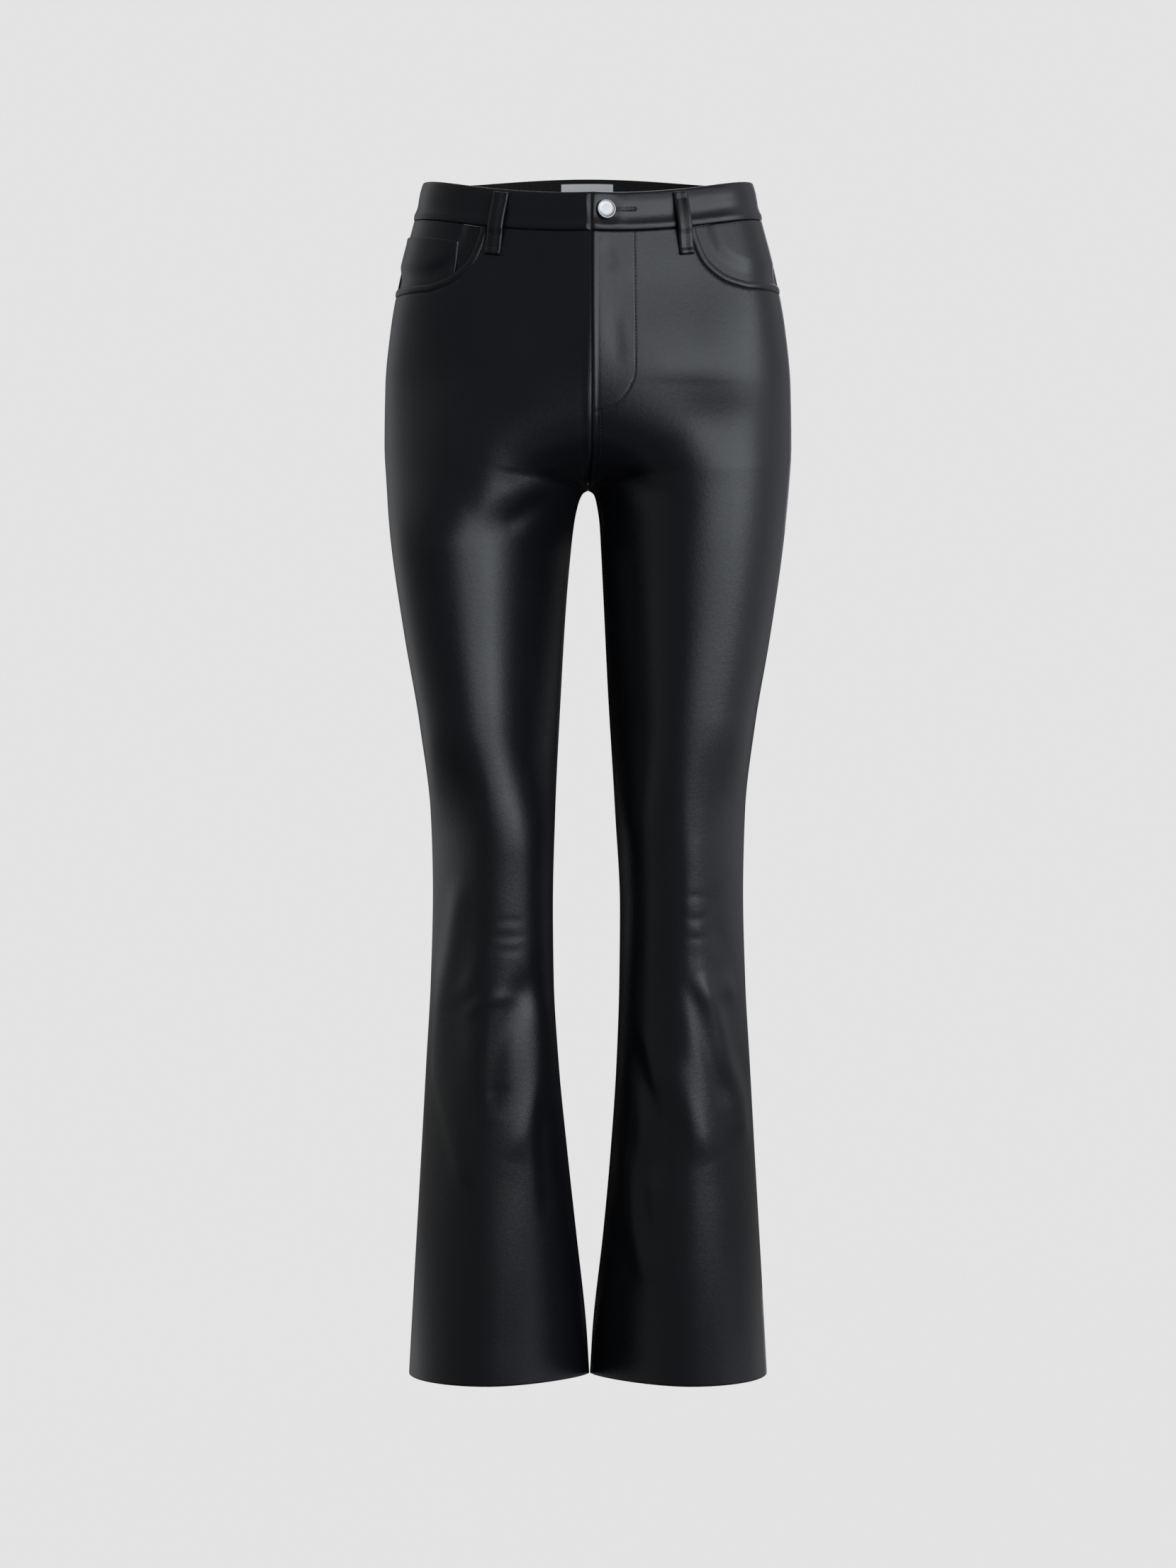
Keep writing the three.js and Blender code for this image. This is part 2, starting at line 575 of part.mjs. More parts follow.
// Pocket facings: the front panel's own grid, sunk under the scoop's edge and rising to lie
// flush at the side seam and the waistband. The right one is sunk deeper, to take the coin pocket.
const facingGrid = {};
for (const side of ['right', 'left']) {
  const grid = frontGrid[side];
  const edge = scoopEdge(side);
  const heightAt = curveThrough(edge, 'x', 'y');
  const depth = WALL + GAP + (side === 'right' ? COIN_POCKET.wall + GAP : 0);
  const first = Math.round(SCOOP.facingFrom * COLUMNS.front);
  const last = grid.levels.filter((level) => level > SCOOP.facingTo).length - 1;
  const rows = [...steps(0, last, last * SCOOP.fineness), last];
  const across = COLUMNS.front - first;
  const columns = [...steps(first, COLUMNS.front, across * SCOOP.fineness), COLUMNS.front];
  const flush = (out) => rows.map((r) => columns.map((c) => onGrid(grid, c, r, out)));
  const surface = flush(0);
  const normals = flush(1).map((row, r) => row.map((p, j) => p.sub(surface[r][j])));
  const points = surface.map((row, r) => row.map((p, j) => {
    const x = Math.abs(p.x);
    const inside = x > edge[0].x && p.z > heightAt(x) ? distanceToEdge(edge, x, p.z) : 0;
    const sunk = depth * (1 - smooth((inside - SCOOP.flat) / SCOOP.slope));
    return p.clone().addScaledVector(normals[r][j], -sunk);
  }));
  facingGrid[side] = { points, normals, first, levels: grid.levels };
  add(`pocket_facing_${side}`, wallGeometry(moved(facingGrid[side], 0), moved(facingGrid[side], -WALL)));
}

// Coin pocket on the right facing, bent on the same lines, its foot tucked under the scoop's edge
{
  const grid = facingGrid.right;
  const rowAt = (level) => (
    SCOOP.fineness * (grid.levels[0] - level) / (grid.levels[0] - grid.levels[1]));
  const columnAt = (c) => Math.round(SCOOP.fineness * (c * COLUMNS.front - grid.first));
  const between = (from, to) => {
    const [first, last] = [Math.ceil(from), Math.floor(to) + 1];
    return steps(first, last, last - first);
  };
  const [top, bottom] = [rowAt(COIN_POCKET.top), rowAt(COIN_POCKET.bottom)];
  const rows = [top, ...between(top, bottom), bottom];
  const columns = between(columnAt(COIN_POCKET.inner), columnAt(COIN_POCKET.outer));
  const sheet = (out) => rows.map((r) => columns.map((c) => onGrid(grid, c, r, out)));
  add('coin_pocket', wallGeometry(sheet(GAP + COIN_POCKET.wall), sheet(GAP)));
}

// Fly underlay behind the front opening, on the columns of both front panels
{
  const rows = frontLevels.filter((level) => level > FLY.underlayTo).length;
  const columns = [['right', 1], ['right', 0], ['left', 1], ['left', 2]];
  const sheet = (out) => Array.from({ length: rows }, (_, r) => columns.map(([side, j]) => (
    frontGrid[side].points[r][j].clone().addScaledVector(frontGrid[side].normals[r][j], out))));
  add('fly_underlay', wallGeometry(sheet(-WALL - GAP), sheet(-2 * WALL - GAP)));
}

// Waistband: one strip from the left front end right round the body, then under its own start
{
  const whole = (face) => steps(0, 1, COLUMNS[face]);
  const path = [
    ...whole('front').map((c) => ({ side: 'left', face: 'front', c, sunk: 0 })),
    { side: 'left', face: 'front', c: 1, sunk: 0 },
    ...whole('back').slice(1).reverse().map((c) => ({ side: 'left', face: 'back', c, sunk: 0 })),
    ...whole('back').map((c) => ({ side: 'right', face: 'back', c, sunk: 0 })),
    { side: 'right', face: 'front', c: 1, sunk: 0 },
    ...whole('front').slice(1).reverse().map((c) => ({ side: 'right', face: 'front', c, sunk: 0 })),
    { side: 'right', face: 'front', c: 0, sunk: 1 },
    { side: 'left', face: 'front', c: 1 / COLUMNS.front, sunk: 1 },
    { side: 'left', face: 'front', c: 2 / COLUMNS.front, sunk: 1 },
    { side: 'left', face: 'front', c: BAND.underlapColumns / COLUMNS.front, sunk: 1 },
  ];
  const levels = [...steps(BAND.top, BAND.bottom, BAND.rows), BAND.bottom];
  const sunkBy = BAND.wall + GAP;
  const sheet = (out) => levels.map((level) => path.map(({ side, face, c, sunk }) => {
    const at = surfacePoint(side, face, c, level);
    return at.addScaledVector(surfaceNormal(side, face, c, level), out - sunk * sunkBy);
  }));
  const strip = wallGeometry(sheet(BAND.proud), sheet(BAND.proud - BAND.wall));

  const between = BAND.proud - BAND.wall - GAP / 2;
  const { eye, cutter, sides } = BUTTONHOLE;
  const hole = new THREE.CylinderGeometry(eye, eye, cutter - between, sides);
  hole.translate(0, (cutter + between) / 2, 0);
  const stations = [...steps(BUTTON.station, BUTTONHOLE.to, 3), BUTTONHOLE.to];
  const slitSheet = (out) => [BUTTONHOLE.slit / 2, -BUTTONHOLE.slit / 2].map((up) => (
    stations.map((station) => stationPoint('front', station, BUTTON.level + up, out))));
  const slit = wallGeometry(slitSheet(cutter), slitSheet(between));
  add('waistband', cut(strip, standOn(hole, 'front', BUTTON.station, BUTTON.level), slit));
}

// Button: a rimmed disc on a stem that reaches through the buttonhole to the underlap
{
  const foot = BAND.proud - BAND.wall;
  const back = BAND.proud + GAP;
  const face = back + BUTTON.depth;
  const { radius, stem, rim, bevel } = BUTTON;
  const profile = [
    [0, foot], [stem, foot], [stem, back], [radius - bevel, back], [radius, back + bevel],
    [radius, face - bevel], [radius - bevel, face], [radius - rim, face],
    [radius - rim - bevel, face - bevel], [0, face - bevel],
  ];
  const disc = new THREE.LatheGeometry(profile.map(([r, h]) => new THREE.Vector2(r, h)), BUTTON.sides);
  add('button', standOn(disc, 'front', BUTTON.station, BUTTON.level), brushedSteel);
}

// Belt loops, arched over the waistband, with both ends sewn down
function beltLoop(name, face, topStation, bottomStation) {
  const across = [-0.5, -0.25, 0, 0.25, 0.5];
  const along = [0, LOOP.end, ...steps(LOOP.end, 1 - LOOP.end, 8).slice(1), 1 - LOOP.end, 1];
  const sheet = (out) => along.map((t) => across.map((share) => {
    const level = lerp(LOOP.top, LOOP.bottom, t);
    const station = lerp(topStation, bottomStation, t) + share * LOOP.width;
    const onBand = 1 - smooth((BAND.bottom - level) / LOOP.step);
    const rise = clamp((t - LOOP.end) / (1 - 2 * LOOP.end), 0, 1);
    const arched = Math.sin(Math.PI * rise) ** LOOP.roundness;
    const seat = BAND.proud * onBand + GAP;
    return stationPoint(face, station, level, seat + LOOP.arch * arched + out);
  }));
  add(name, wallGeometry(sheet(LOOP.wall), sheet(0)));
}

const backLoop = BACK_LOOP_SHARE * sectionLength('left', 'back', LOOP.top);
for (const { name, face, top, bottom } of [
  { name: 'front_right', face: 'front', top: -75.6, bottom: -83.6 },
  { name: 'front_left', face: 'front', top: 79, bottom: 85.6 },
  { name: 'back_right', face: 'back', top: -backLoop, bottom: -backLoop - LOOP.lean },
  { name: 'back_left', face: 'back', top: backLoop, bottom: backLoop + LOOP.lean },
  { name: 'back_middle', face: 'back', top: 0, bottom: 0 },
]) beltLoop(`belt_loop_${name}`, face, top, bottom);

// Blank label inside the back of the waistband
{
  const inside = BAND.proud - BAND.wall - GAP;
  const stations = [...steps(LABEL.right, LABEL.left, 4), LABEL.left];
  const levels = [...steps(LABEL.top, LABEL.bottom, 2), LABEL.bottom];
  const sheet = (out) => levels.map((level) => stations.map((s) => stationPoint('back', s, level, out)));
  add('label', wallGeometry(sheet(inside), sheet(inside - LABEL.wall)), labelCloth);
}

export default trousers;
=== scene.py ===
"""Black leather trousers, filled out with no wearer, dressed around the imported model.

Lengths are millimetres while a form is worked out, and metres in its Blender mesh.
X runs to the wearer's left, Y to the back and Z up, as in the model.
"""

import math

import bpy
import numpy as np
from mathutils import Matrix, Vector


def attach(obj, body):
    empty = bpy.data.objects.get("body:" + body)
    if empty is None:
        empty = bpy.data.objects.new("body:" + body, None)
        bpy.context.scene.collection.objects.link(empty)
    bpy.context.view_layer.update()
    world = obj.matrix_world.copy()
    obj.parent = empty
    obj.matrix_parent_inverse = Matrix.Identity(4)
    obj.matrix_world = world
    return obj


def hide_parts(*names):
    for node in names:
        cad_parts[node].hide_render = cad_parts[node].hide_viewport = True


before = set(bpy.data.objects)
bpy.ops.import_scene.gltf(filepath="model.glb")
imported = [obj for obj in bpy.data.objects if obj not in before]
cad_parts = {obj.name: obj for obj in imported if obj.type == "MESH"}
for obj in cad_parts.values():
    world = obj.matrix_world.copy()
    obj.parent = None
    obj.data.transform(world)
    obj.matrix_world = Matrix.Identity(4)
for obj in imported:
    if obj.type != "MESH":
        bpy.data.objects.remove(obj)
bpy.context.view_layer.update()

# Driving dimensions, the same as the solids'
WALL = 1.6
GAP = 0.3
BAND = dict(top=-2.0, bottom=-35.0, wall=2.4, proud=0.6, underlap=36.0, dip=5.0)
WAIST_DROP = dict(front=-20.0, back=18.0, roundness=1.5, fade_from=-35.0, fade_to=-200.0)
FORK = dict(z=-271.5, level=-248.0, closed=14.0)
SPLIT_FROM = dict(front=-185.0, back=-150.0)
ROUND_FROM = dict(front=-160.0, back=-125.0, sharpness=1.5)
MERGE_LEVEL = -330.0
KNEE_LEVEL = -622.0
HEM_LEVEL = -1042.0
PELVIS_FULLNESS = dict(centre=0.62, front=0.55, back=0.6)
# How full the arcs of a leg's section are at their ends: inner from the inseam, outer to the side
LEG_ARCS = dict(
    thigh=dict(inner=(0.12, 0.56), outer=(0.56, 0.56)),
    knee=dict(inner=(0.12, 0.84), outer=(0.5, 0.12)),
    hem=dict(inner=(0.25, 0.42), outer=(0.56, 0.5)),
)
KNEE = dict(start=-470.0, full=-570.0, ease=-760.0)
OUTERMOST = 0.555
# The thigh of the wearer's right leg is turned outward: its depth leans by this much across
TURN = dict(right=0.42, left=0.0, start=-250.0, full=-330.0, ease=-485.0, end=-590.0)
FLY = dict(shift=3.3, reach=60.0, top=-240.0, underlay_to=-180.0)
# The front slopes away from the fly at the waist: how far, over what reach, and down to where
SLOPE = dict(depth=15.0, reach=42.0, fade_from=-70.0, fade_to=-255.0, side_from=0.4, side_to=0.85)
YOKE = dict(centre=-105.0, side=-67.0)
SCOOP = dict(lower_on_right=3.0, lower_from=90.0, lower_over=60.0, flat=7.0, slope=14.0, facing_to=-118.0,
             facing_from=0.42, band=6.8, drop_to_side=4.0)
COIN_POCKET = dict(wall=1.2, top=-50.5, bottom=-104.0, inner=0.578, outer=0.965)
BUTTON = dict(station=11.7, level=-17.0, radius=8.2, depth=2.6, stem=2.5)
BUTTONHOLE = dict(start=14.0, to=37.5)
LOOP = dict(width=13.5, wall=2.0, arch=2.2, top=-5.0, bottom=-60.0, end=0.12, step=8.0, lean=4.0)
BACK_LOOP_SHARE = 0.58
LABEL = dict(left=22.5, right=-24.1, top=-6.0, bottom=-31.0, wall=0.6)

# The photograph's frame, and the camera that took it
PHOTO = dict(height=2212, centre_x=829.5, centre_y=1106.0, mm_per_px=0.62)
CAMERA = dict(distance=3400.0, height=-527.0, sensor=36.0)

# Sections from waist to hem: half width, and depth at the front and back
SECTIONS = [
    # level, outer, front, back
    (0, 143.0, 88, 92),
    (-35, 151.8, 90, 97),
    (-80, 163.4, 92, 105),
    (-130, 172.5, 93, 113),
    (-180, 177.2, 91, 117.5),
    (-230, 177.9, 86, 114),
    (-275, 175.2, 82.5, 99),
    (-325, 169.9, 80.5, 86),
    (-400, 158.9, 77, 79),
    (-475, 146.1, 74.5, 71),
    (-550, 137.5, 69.5, 63),
    (-622, 135.8, 64, 59),
    (-700, 137.7, 61.5, 64),
    (-770, 141.6, 63, 70),
    (-850, 145.9, 67, 74),
    (-950, 151.5, 74, 78),
    (-1042, 156.5, 80, 80),
]

# Inseams from fork to hem: distance of each leg's inner edge from the middle, and its depth
INSEAMS = [
    # z, right, left, y
    (-271.5, 0.15, 0.15, -12),
    (-273, 3.4, 3.4, -11.9),
    (-275.5, 5.3, 5.3, -11.7),
    (-284, 8.6, 7.6, -11),
    (-300, 12.1, 10, -10),
    (-325, 15.2, 11.5, -8),
    (-375, 19.5, 14, -5),
    (-450, 23.9, 17.7, -2),
    (-550, 28.8, 23.9, 0),
    (-635, 30.8, 28.2, 0),
    (-700, 30, 27.6, 0),
    (-770, 25.8, 25.2, 0),
    (-850, 17.9, 19.8, 0),
    (-920, 10.2, 13.3, 0),
    (-1000, 1.5, 4.4, 0),
    (-1042, -1.1, 1.9, 0),
]

# Edge of the left scoop pocket, from the waistband seam to the side seam, seen from the front
SCOOP_EDGE = [
    # x, z
    (91, -30),
    (92.5, -48.8),
    (97.5, -64.3),
    (104.2, -76.8),
    (117.2, -87.5),
    (130.3, -92),
    (146, -93.5),
]

SIGN = dict(right=-1.0, left=1.0)
OUTWARD = dict(front=-1.0, back=1.0)


# Curves and sections
def smooth(t):
    t = np.clip(t, 0.0, 1.0)
    return t * t * (3 - 2 * t)


def mix(a, b, t):
    return a + (b - a) * t


def curve_through(table, column):
    """A smooth curve through one column of a table by its first, with no overshoot between rows."""
    rows = sorted(table)
    x = np.array([row[0] for row in rows], float)
    y = np.array([row[column] for row in rows], float)
    slope = np.diff(y) / np.diff(x)
    tangent = np.zeros(len(x))
    tangent[0], tangent[-1] = slope[0], slope[-1]
    for i in range(1, len(x) - 1):
        if slope[i - 1] * slope[i] > 0:
            tangent[i] = 2 * slope[i - 1] * slope[i] / (slope[i - 1] + slope[i])

    def at(value):
        v = np.clip(value, x[0], x[-1])
        i = np.clip(np.searchsorted(x, v, side="right") - 1, 0, len(x) - 2)
        h = x[i + 1] - x[i]
        t = (v - x[i]) / h
        return ((2 * t**3 - 3 * t**2 + 1) * y[i] + (t**3 - 2 * t**2 + t) * h * tangent[i]
                + (3 * t**2 - 2 * t**3) * y[i + 1] + (t**3 - t**2) * h * tangent[i + 1])

    return at


outer_at = curve_through(SECTIONS, 1)
depth_at = dict(front=curve_through(SECTIONS, 2), back=curve_through(SECTIONS, 3))
inseam_at = dict(right=curve_through(INSEAMS, 1), left=curve_through(INSEAMS, 2))
inseam_depth_at = curve_through(INSEAMS, 3)

ARC = np.linspace(0, 1, 41)[:, None]
SECTION_POINTS = 161


def quarter_arc(a, b, along_x, full_a, full_b):
    """A quarter arc between two points, leaving the first along X or along Y."""
    if along_x:
        p1, p2 = (mix(a[0], b[0], full_a), a[1]), (b[0], mix(b[1], a[1], full_b))
    else:
        p1, p2 = (a[0], mix(a[1], b[1], full_a)), (mix(b[0], a[0], full_b), b[1])
    t, u = ARC, 1 - ARC
    return (u**3 * np.array(a) + 3 * u**2 * t * np.array(p1) + 3 * u * t**2 * np.array(p2)
            + t**3 * np.array(b))


def evenly(points, count=SECTION_POINTS):
    """The same line with its points evenly spaced."""
    length = np.concatenate([[0], np.cumsum(np.hypot(*np.diff(points, axis=0).T))])
    at = np.linspace(0, length[-1], count)
    return np.stack([np.interp(at, length, points[:, k]) for k in range(points.shape[1])], 1)


def parting(face, level):
    """How far a level has parted into legs, and the height of its centre."""
    start = SPLIT_FROM[face]
    t = np.clip((start - level) / (start - FORK["level"]), 0, 1)
    centre = level
    if FORK["level"] <= level < start:
        centre = start - (start - FORK["z"]) * math.sin(math.pi * t / 2)
    elif MERGE_LEVEL < level < FORK["level"]:
        centre = mix(FORK["z"], MERGE_LEVEL, (FORK["level"] - level) / (FORK["level"] - MERGE_LEVEL))
    round_from = ROUND_FROM[face]
    t = np.clip((round_from - level) / (round_from - FORK["level"]), 0, 1)
    return (1 - math.cos(math.pi * t / 2)) ** ROUND_FROM["sharpness"], centre


def turned(side, level):
    """How much the depth of one leg leans across at a level."""
    onset = smooth((TURN["start"] - level) / (TURN["start"] - TURN["full"]))
    ease = smooth((TURN["ease"] - level) / (TURN["ease"] - TURN["end"]))
    return -TURN[side] * onset * (1 - ease)


def arc_ends(part, level):
    """How full one arc of a leg's section is at its two ends."""
    thigh, knee, hem = [np.array(LEG_ARCS[name][part]) for name in ("thigh", "knee", "hem")]
    below = smooth((KNEE["start"] - level) / (KNEE["start"] - KNEE["full"]))
    flared = smooth((KNEE["ease"] - level) / (KNEE["ease"] - HEM_LEVEL))
    return mix(mix(thigh, knee, below), hem, flared)


def half_section(side, face, level):
    """One half section, from the centre or inseam round to the side seam; x is outward."""
    weight, centre = parting(face, level)
    out = OUTWARD[face]
    depth = depth_at[face](level)
    seam = (outer_at(level), out * GAP / 2)
    slit = GAP / 2 * (1 - math.exp(-(((level - FORK["level"]) / FORK["closed"]) ** 2)))
    inner = slit if level > FORK["level"] else inseam_at[side](centre)
    pelvis = evenly(quarter_arc((slit, out * depth), seam, True,
                                PELVIS_FULLNESS["centre"], PELVIS_FULLNESS[face]))
    flared = smooth((KNEE_LEVEL - level) / (KNEE_LEVEL - HEM_LEVEL))
    outermost = (mix(inner, seam[0], mix(0.5, OUTERMOST, flared)), out * depth)
    leg_inner = (inner, inseam_depth_at(centre) + out * slit)
    leg = evenly(np.vstack([
        quarter_arc(leg_inner, outermost, False, *arc_ends("inner", level)),
        quarter_arc(outermost, seam, True, *arc_ends("outer", level))[1:],
    ]))
    blend = mix(pelvis, leg, weight)
    blend[:, 1] *= depth / (out * blend[:, 1]).max()
    section = evenly(blend)
    section[0, 0] = inner
    section[:, 1] += turned(side, level) * (section[:, 0] - (inner + seam[0]) / 2)
    return section


class Surface:
    """The smooth outer surface of one face of one side, sampled by column c and level."""

    def __init__(self, side, face):
        self.side, self.face = side, face
        self.turn = SIGN[side] * OUTWARD[face]
        self.levels = np.arange(2.0, HEM_LEVEL - 1.0, -1.0)
        c = np.linspace(0, 1, SECTION_POINTS)
        grid = np.zeros((len(self.levels), SECTION_POINTS, 3))
        self.lengths = np.zeros(len(self.levels))
        for i, level in enumerate(self.levels):
            level = max(level, HEM_LEVEL)
            section = half_section(side, face, level)
            _, centre = parting(face, level)
            fade = 1 - smooth((WAIST_DROP["fade_from"] - level)
                              / (WAIST_DROP["fade_from"] - WAIST_DROP["fade_to"]))
            drop = WAIST_DROP[face] * fade * np.cos(np.pi * c / 2) ** WAIST_DROP["roundness"]
            shifted = 0.0
            if face == "front" and level > FORK["level"]:
                shifted = smooth((centre - FORK["z"]) / (FLY["top"] - FORK["z"]))
            shift = FLY["shift"] * shifted * np.exp(-((section[:, 0] / FLY["reach"]) ** 2))
            slope = 0.0
            if face == "front":
                low = smooth((SLOPE["fade_from"] - level) / (SLOPE["fade_from"] - SLOPE["fade_to"]))
                sideways = smooth((c - SLOPE["side_from"]) / (SLOPE["side_to"] - SLOPE["side_from"]))
                slope = SLOPE["depth"] * (1 - low) * (1 - sideways)
                slope = slope * (1 - np.exp(-section[:, 0] / SLOPE["reach"]))
            grid[i, :, 0] = SIGN[side] * section[:, 0] + shift
            grid[i, :, 1] = section[:, 1] + slope
            grid[i, :, 2] = self.levels[i] + (centre - level) * (1 - c) ** 2 + drop
            self.lengths[i] = np.hypot(*np.diff(section, axis=0).T).sum()
        self.grid = grid

    def length(self, level):
        return np.interp(-np.asarray(level, float), -self.levels, self.lengths)

    def point(self, c, level):
        c, level = np.broadcast_arrays(np.asarray(c, float), np.asarray(level, float))
        row = np.clip((self.levels[0] - level), 0, len(self.levels) - 1.001)
        col = np.clip(c, 0, 1) * (SECTION_POINTS - 1.0)
        col = np.minimum(col, SECTION_POINTS - 1.0001)
        i, j = row.astype(int), col.astype(int)
        fr, fc = (row - i)[..., None], (col - j)[..., None]
        g = self.grid
        return ((g[i, j] * (1 - fc) + g[i, j + 1] * fc) * (1 - fr)
                + (g[i + 1, j] * (1 - fc) + g[i + 1, j + 1] * fc) * fr)

    def normal(self, c, level):
        c, level = np.broadcast_arrays(np.asarray(c, float), np.asarray(level, float))
        dc, dl = 0.012, 1.5
        u = self.point(np.minimum(c + dc, 1), level) - self.point(np.maximum(c - dc, 0), level)
        v = self.point(c, np.maximum(level - dl, HEM_LEVEL)) - self.point(c, level + dl)
        n = np.cross(u, v) * self.turn
        above = level > FORK["level"]
        n[..., 0] = np.where((c <= 0) & above, 0, n[..., 0])
        n[..., 1] = np.where((c >= 1) | ((c <= 0) & ~above), 0, n[..., 1])
        near = np.maximum(np.linalg.norm(n, axis=-1, keepdims=True), 1e-9)
        return n / near


surfaces = {(side, face): Surface(side, face) for side in SIGN for face in OUTWARD}


# Placing details by the photograph
def seen_at(point):
    """Where a point shows in the photograph, in pixels."""
    scale = PHOTO["mm_per_px"] * (1 + point[..., 1] / CAMERA["distance"])
    x = PHOTO["centre_x"] + point[..., 0] / scale
    y = PHOTO["centre_y"] - (point[..., 2] - CAMERA["height"]) / scale
    return np.stack([x, y], -1)


def locate(side, pixels):
    """Column and level on the front of one side where each of the photograph's pixels lies."""
    surface = surfaces[side, "front"]
    goal = np.array(pixels, float)
    c = np.full(len(goal), 0.5)
    level = (PHOTO["centre_y"] - goal[:, 1]) * PHOTO["mm_per_px"] + CAMERA["height"]
    for _ in range(30):
        here = seen_at(surface.point(c, level))
        by_c = (seen_at(surface.point(c + 0.01, level)) - here) / 0.01
        by_level = (seen_at(surface.point(c, level - 1)) - here) / -1.0
        det = by_c[:, 0] * by_level[:, 1] - by_c[:, 1] * by_level[:, 0]
        det = np.where(np.abs(det) < 1e-3, 1e-3, det)
        miss = goal - here
        c = np.clip(c + 0.7 * (miss[:, 0] * by_level[:, 1] - miss[:, 1] * by_level[:, 0]) / det, 0, 0.985)
        level = level + 0.7 * (by_c[:, 0] * miss[:, 1] - by_c[:, 1] * miss[:, 0]) / det
    return np.stack([c, level], 1)


def place(side, face, xz):
    """Column and level on one face where each point, seen from the front, lies."""
    surface = surfaces[side, face]
    goal = np.array(xz, float)
    c = np.full(len(goal), 0.5)
    level = goal[:, 1].copy()
    for _ in range(30):
        here = surface.point(c, level)[:, [0, 2]]
        by_c = (surface.point(c + 0.01, level)[:, [0, 2]] - here) / 0.01
        by_level = (surface.point(c, level - 1)[:, [0, 2]] - here) / -1.0
        det = by_c[:, 0] * by_level[:, 1] - by_c[:, 1] * by_level[:, 0]
        det = np.where(np.abs(det) < 1e-3, 1e-3, det)
        miss = goal - here
        c = np.clip(c + 0.7 * (miss[:, 0] * by_level[:, 1] - miss[:, 1] * by_level[:, 0]) / det, 0, 0.985)
        level = level + 0.7 * (by_c[:, 0] * miss[:, 1] - by_c[:, 1] * miss[:, 0]) / det
    return np.stack([c, level], 1)


def to_station(surface, cl):
    """Columns and levels as (distance round from the centre, level), in millimetres."""
    return np.stack([cl[:, 0] * surface.length(cl[:, 1]), cl[:, 1]], 1)


def curved(points, count=60):
    """A smooth line through a few points, by Catmull-Rom, with its points evenly spaced."""
    p = np.asarray(points, float)
    p = np.vstack([2 * p[0] - p[1], p, 2 * p[-1] - p[-2]])
    t = np.linspace(0, 1, 12, endpoint=False)[:, None]
    parts = []
    for i in range(1, len(p) - 2):
        a, b, c, d = p[i - 1], p[i], p[i + 1], p[i + 2]
        parts.append(0.5 * (2 * b + (c - a) * t + (2 * a - 5 * b + 4 * c - d) * t**2
                            + (3 * b - a - 3 * c + d) * t**3))
    return evenly(np.vstack(parts + [p[-2][None]]), count)


def line_distance(points, line):
    """Distance of each point from a line, and the side it is on (plus to the line's left)."""
    best = np.full(len(points), 1e9)
    side = np.zeros(len(points))
    along = np.zeros(len(points))
    run = 0.0
    for a, b in zip(line[:-1], line[1:]):
        d = b - a
        size = math.hypot(*d)
        t = np.clip(((points - a) @ d) / (size * size), 0, 1)
        gap = points - a - t[:, None] * d
        far = np.hypot(gap[:, 0], gap[:, 1])
        closer = far < best - 1e-9
        best = np.where(closer, far, best)
        turn = np.sign(d[0] * (points[:, 1] - a[1]) - d[1] * (points[:, 0] - a[0]))
        side = np.where(closer, turn, side)
        along = np.where(closer, run + t * size, along)
        run += size
    return best, side, along


# Meshes
def new_object(name, points, faces, materials, face_material=None, angle=40.0, scale=0.001):
    mesh = bpy.data.meshes.new(name)
    mesh.from_pydata((np.asarray(points) * scale).tolist(), [], faces)
    mesh.validate()
    obj = bpy.data.objects.new(name, mesh)
    bpy.context.scene.collection.objects.link(obj)
    for material in materials:
        mesh.materials.append(material)
    mesh.polygons.foreach_set("use_smooth", [True] * len(mesh.polygons))
    if face_material is not None:
        mesh.polygons.foreach_set("material_index", np.asarray(face_material, np.int32))
    mesh.set_sharp_from_angle(angle=math.radians(angle))
    return obj


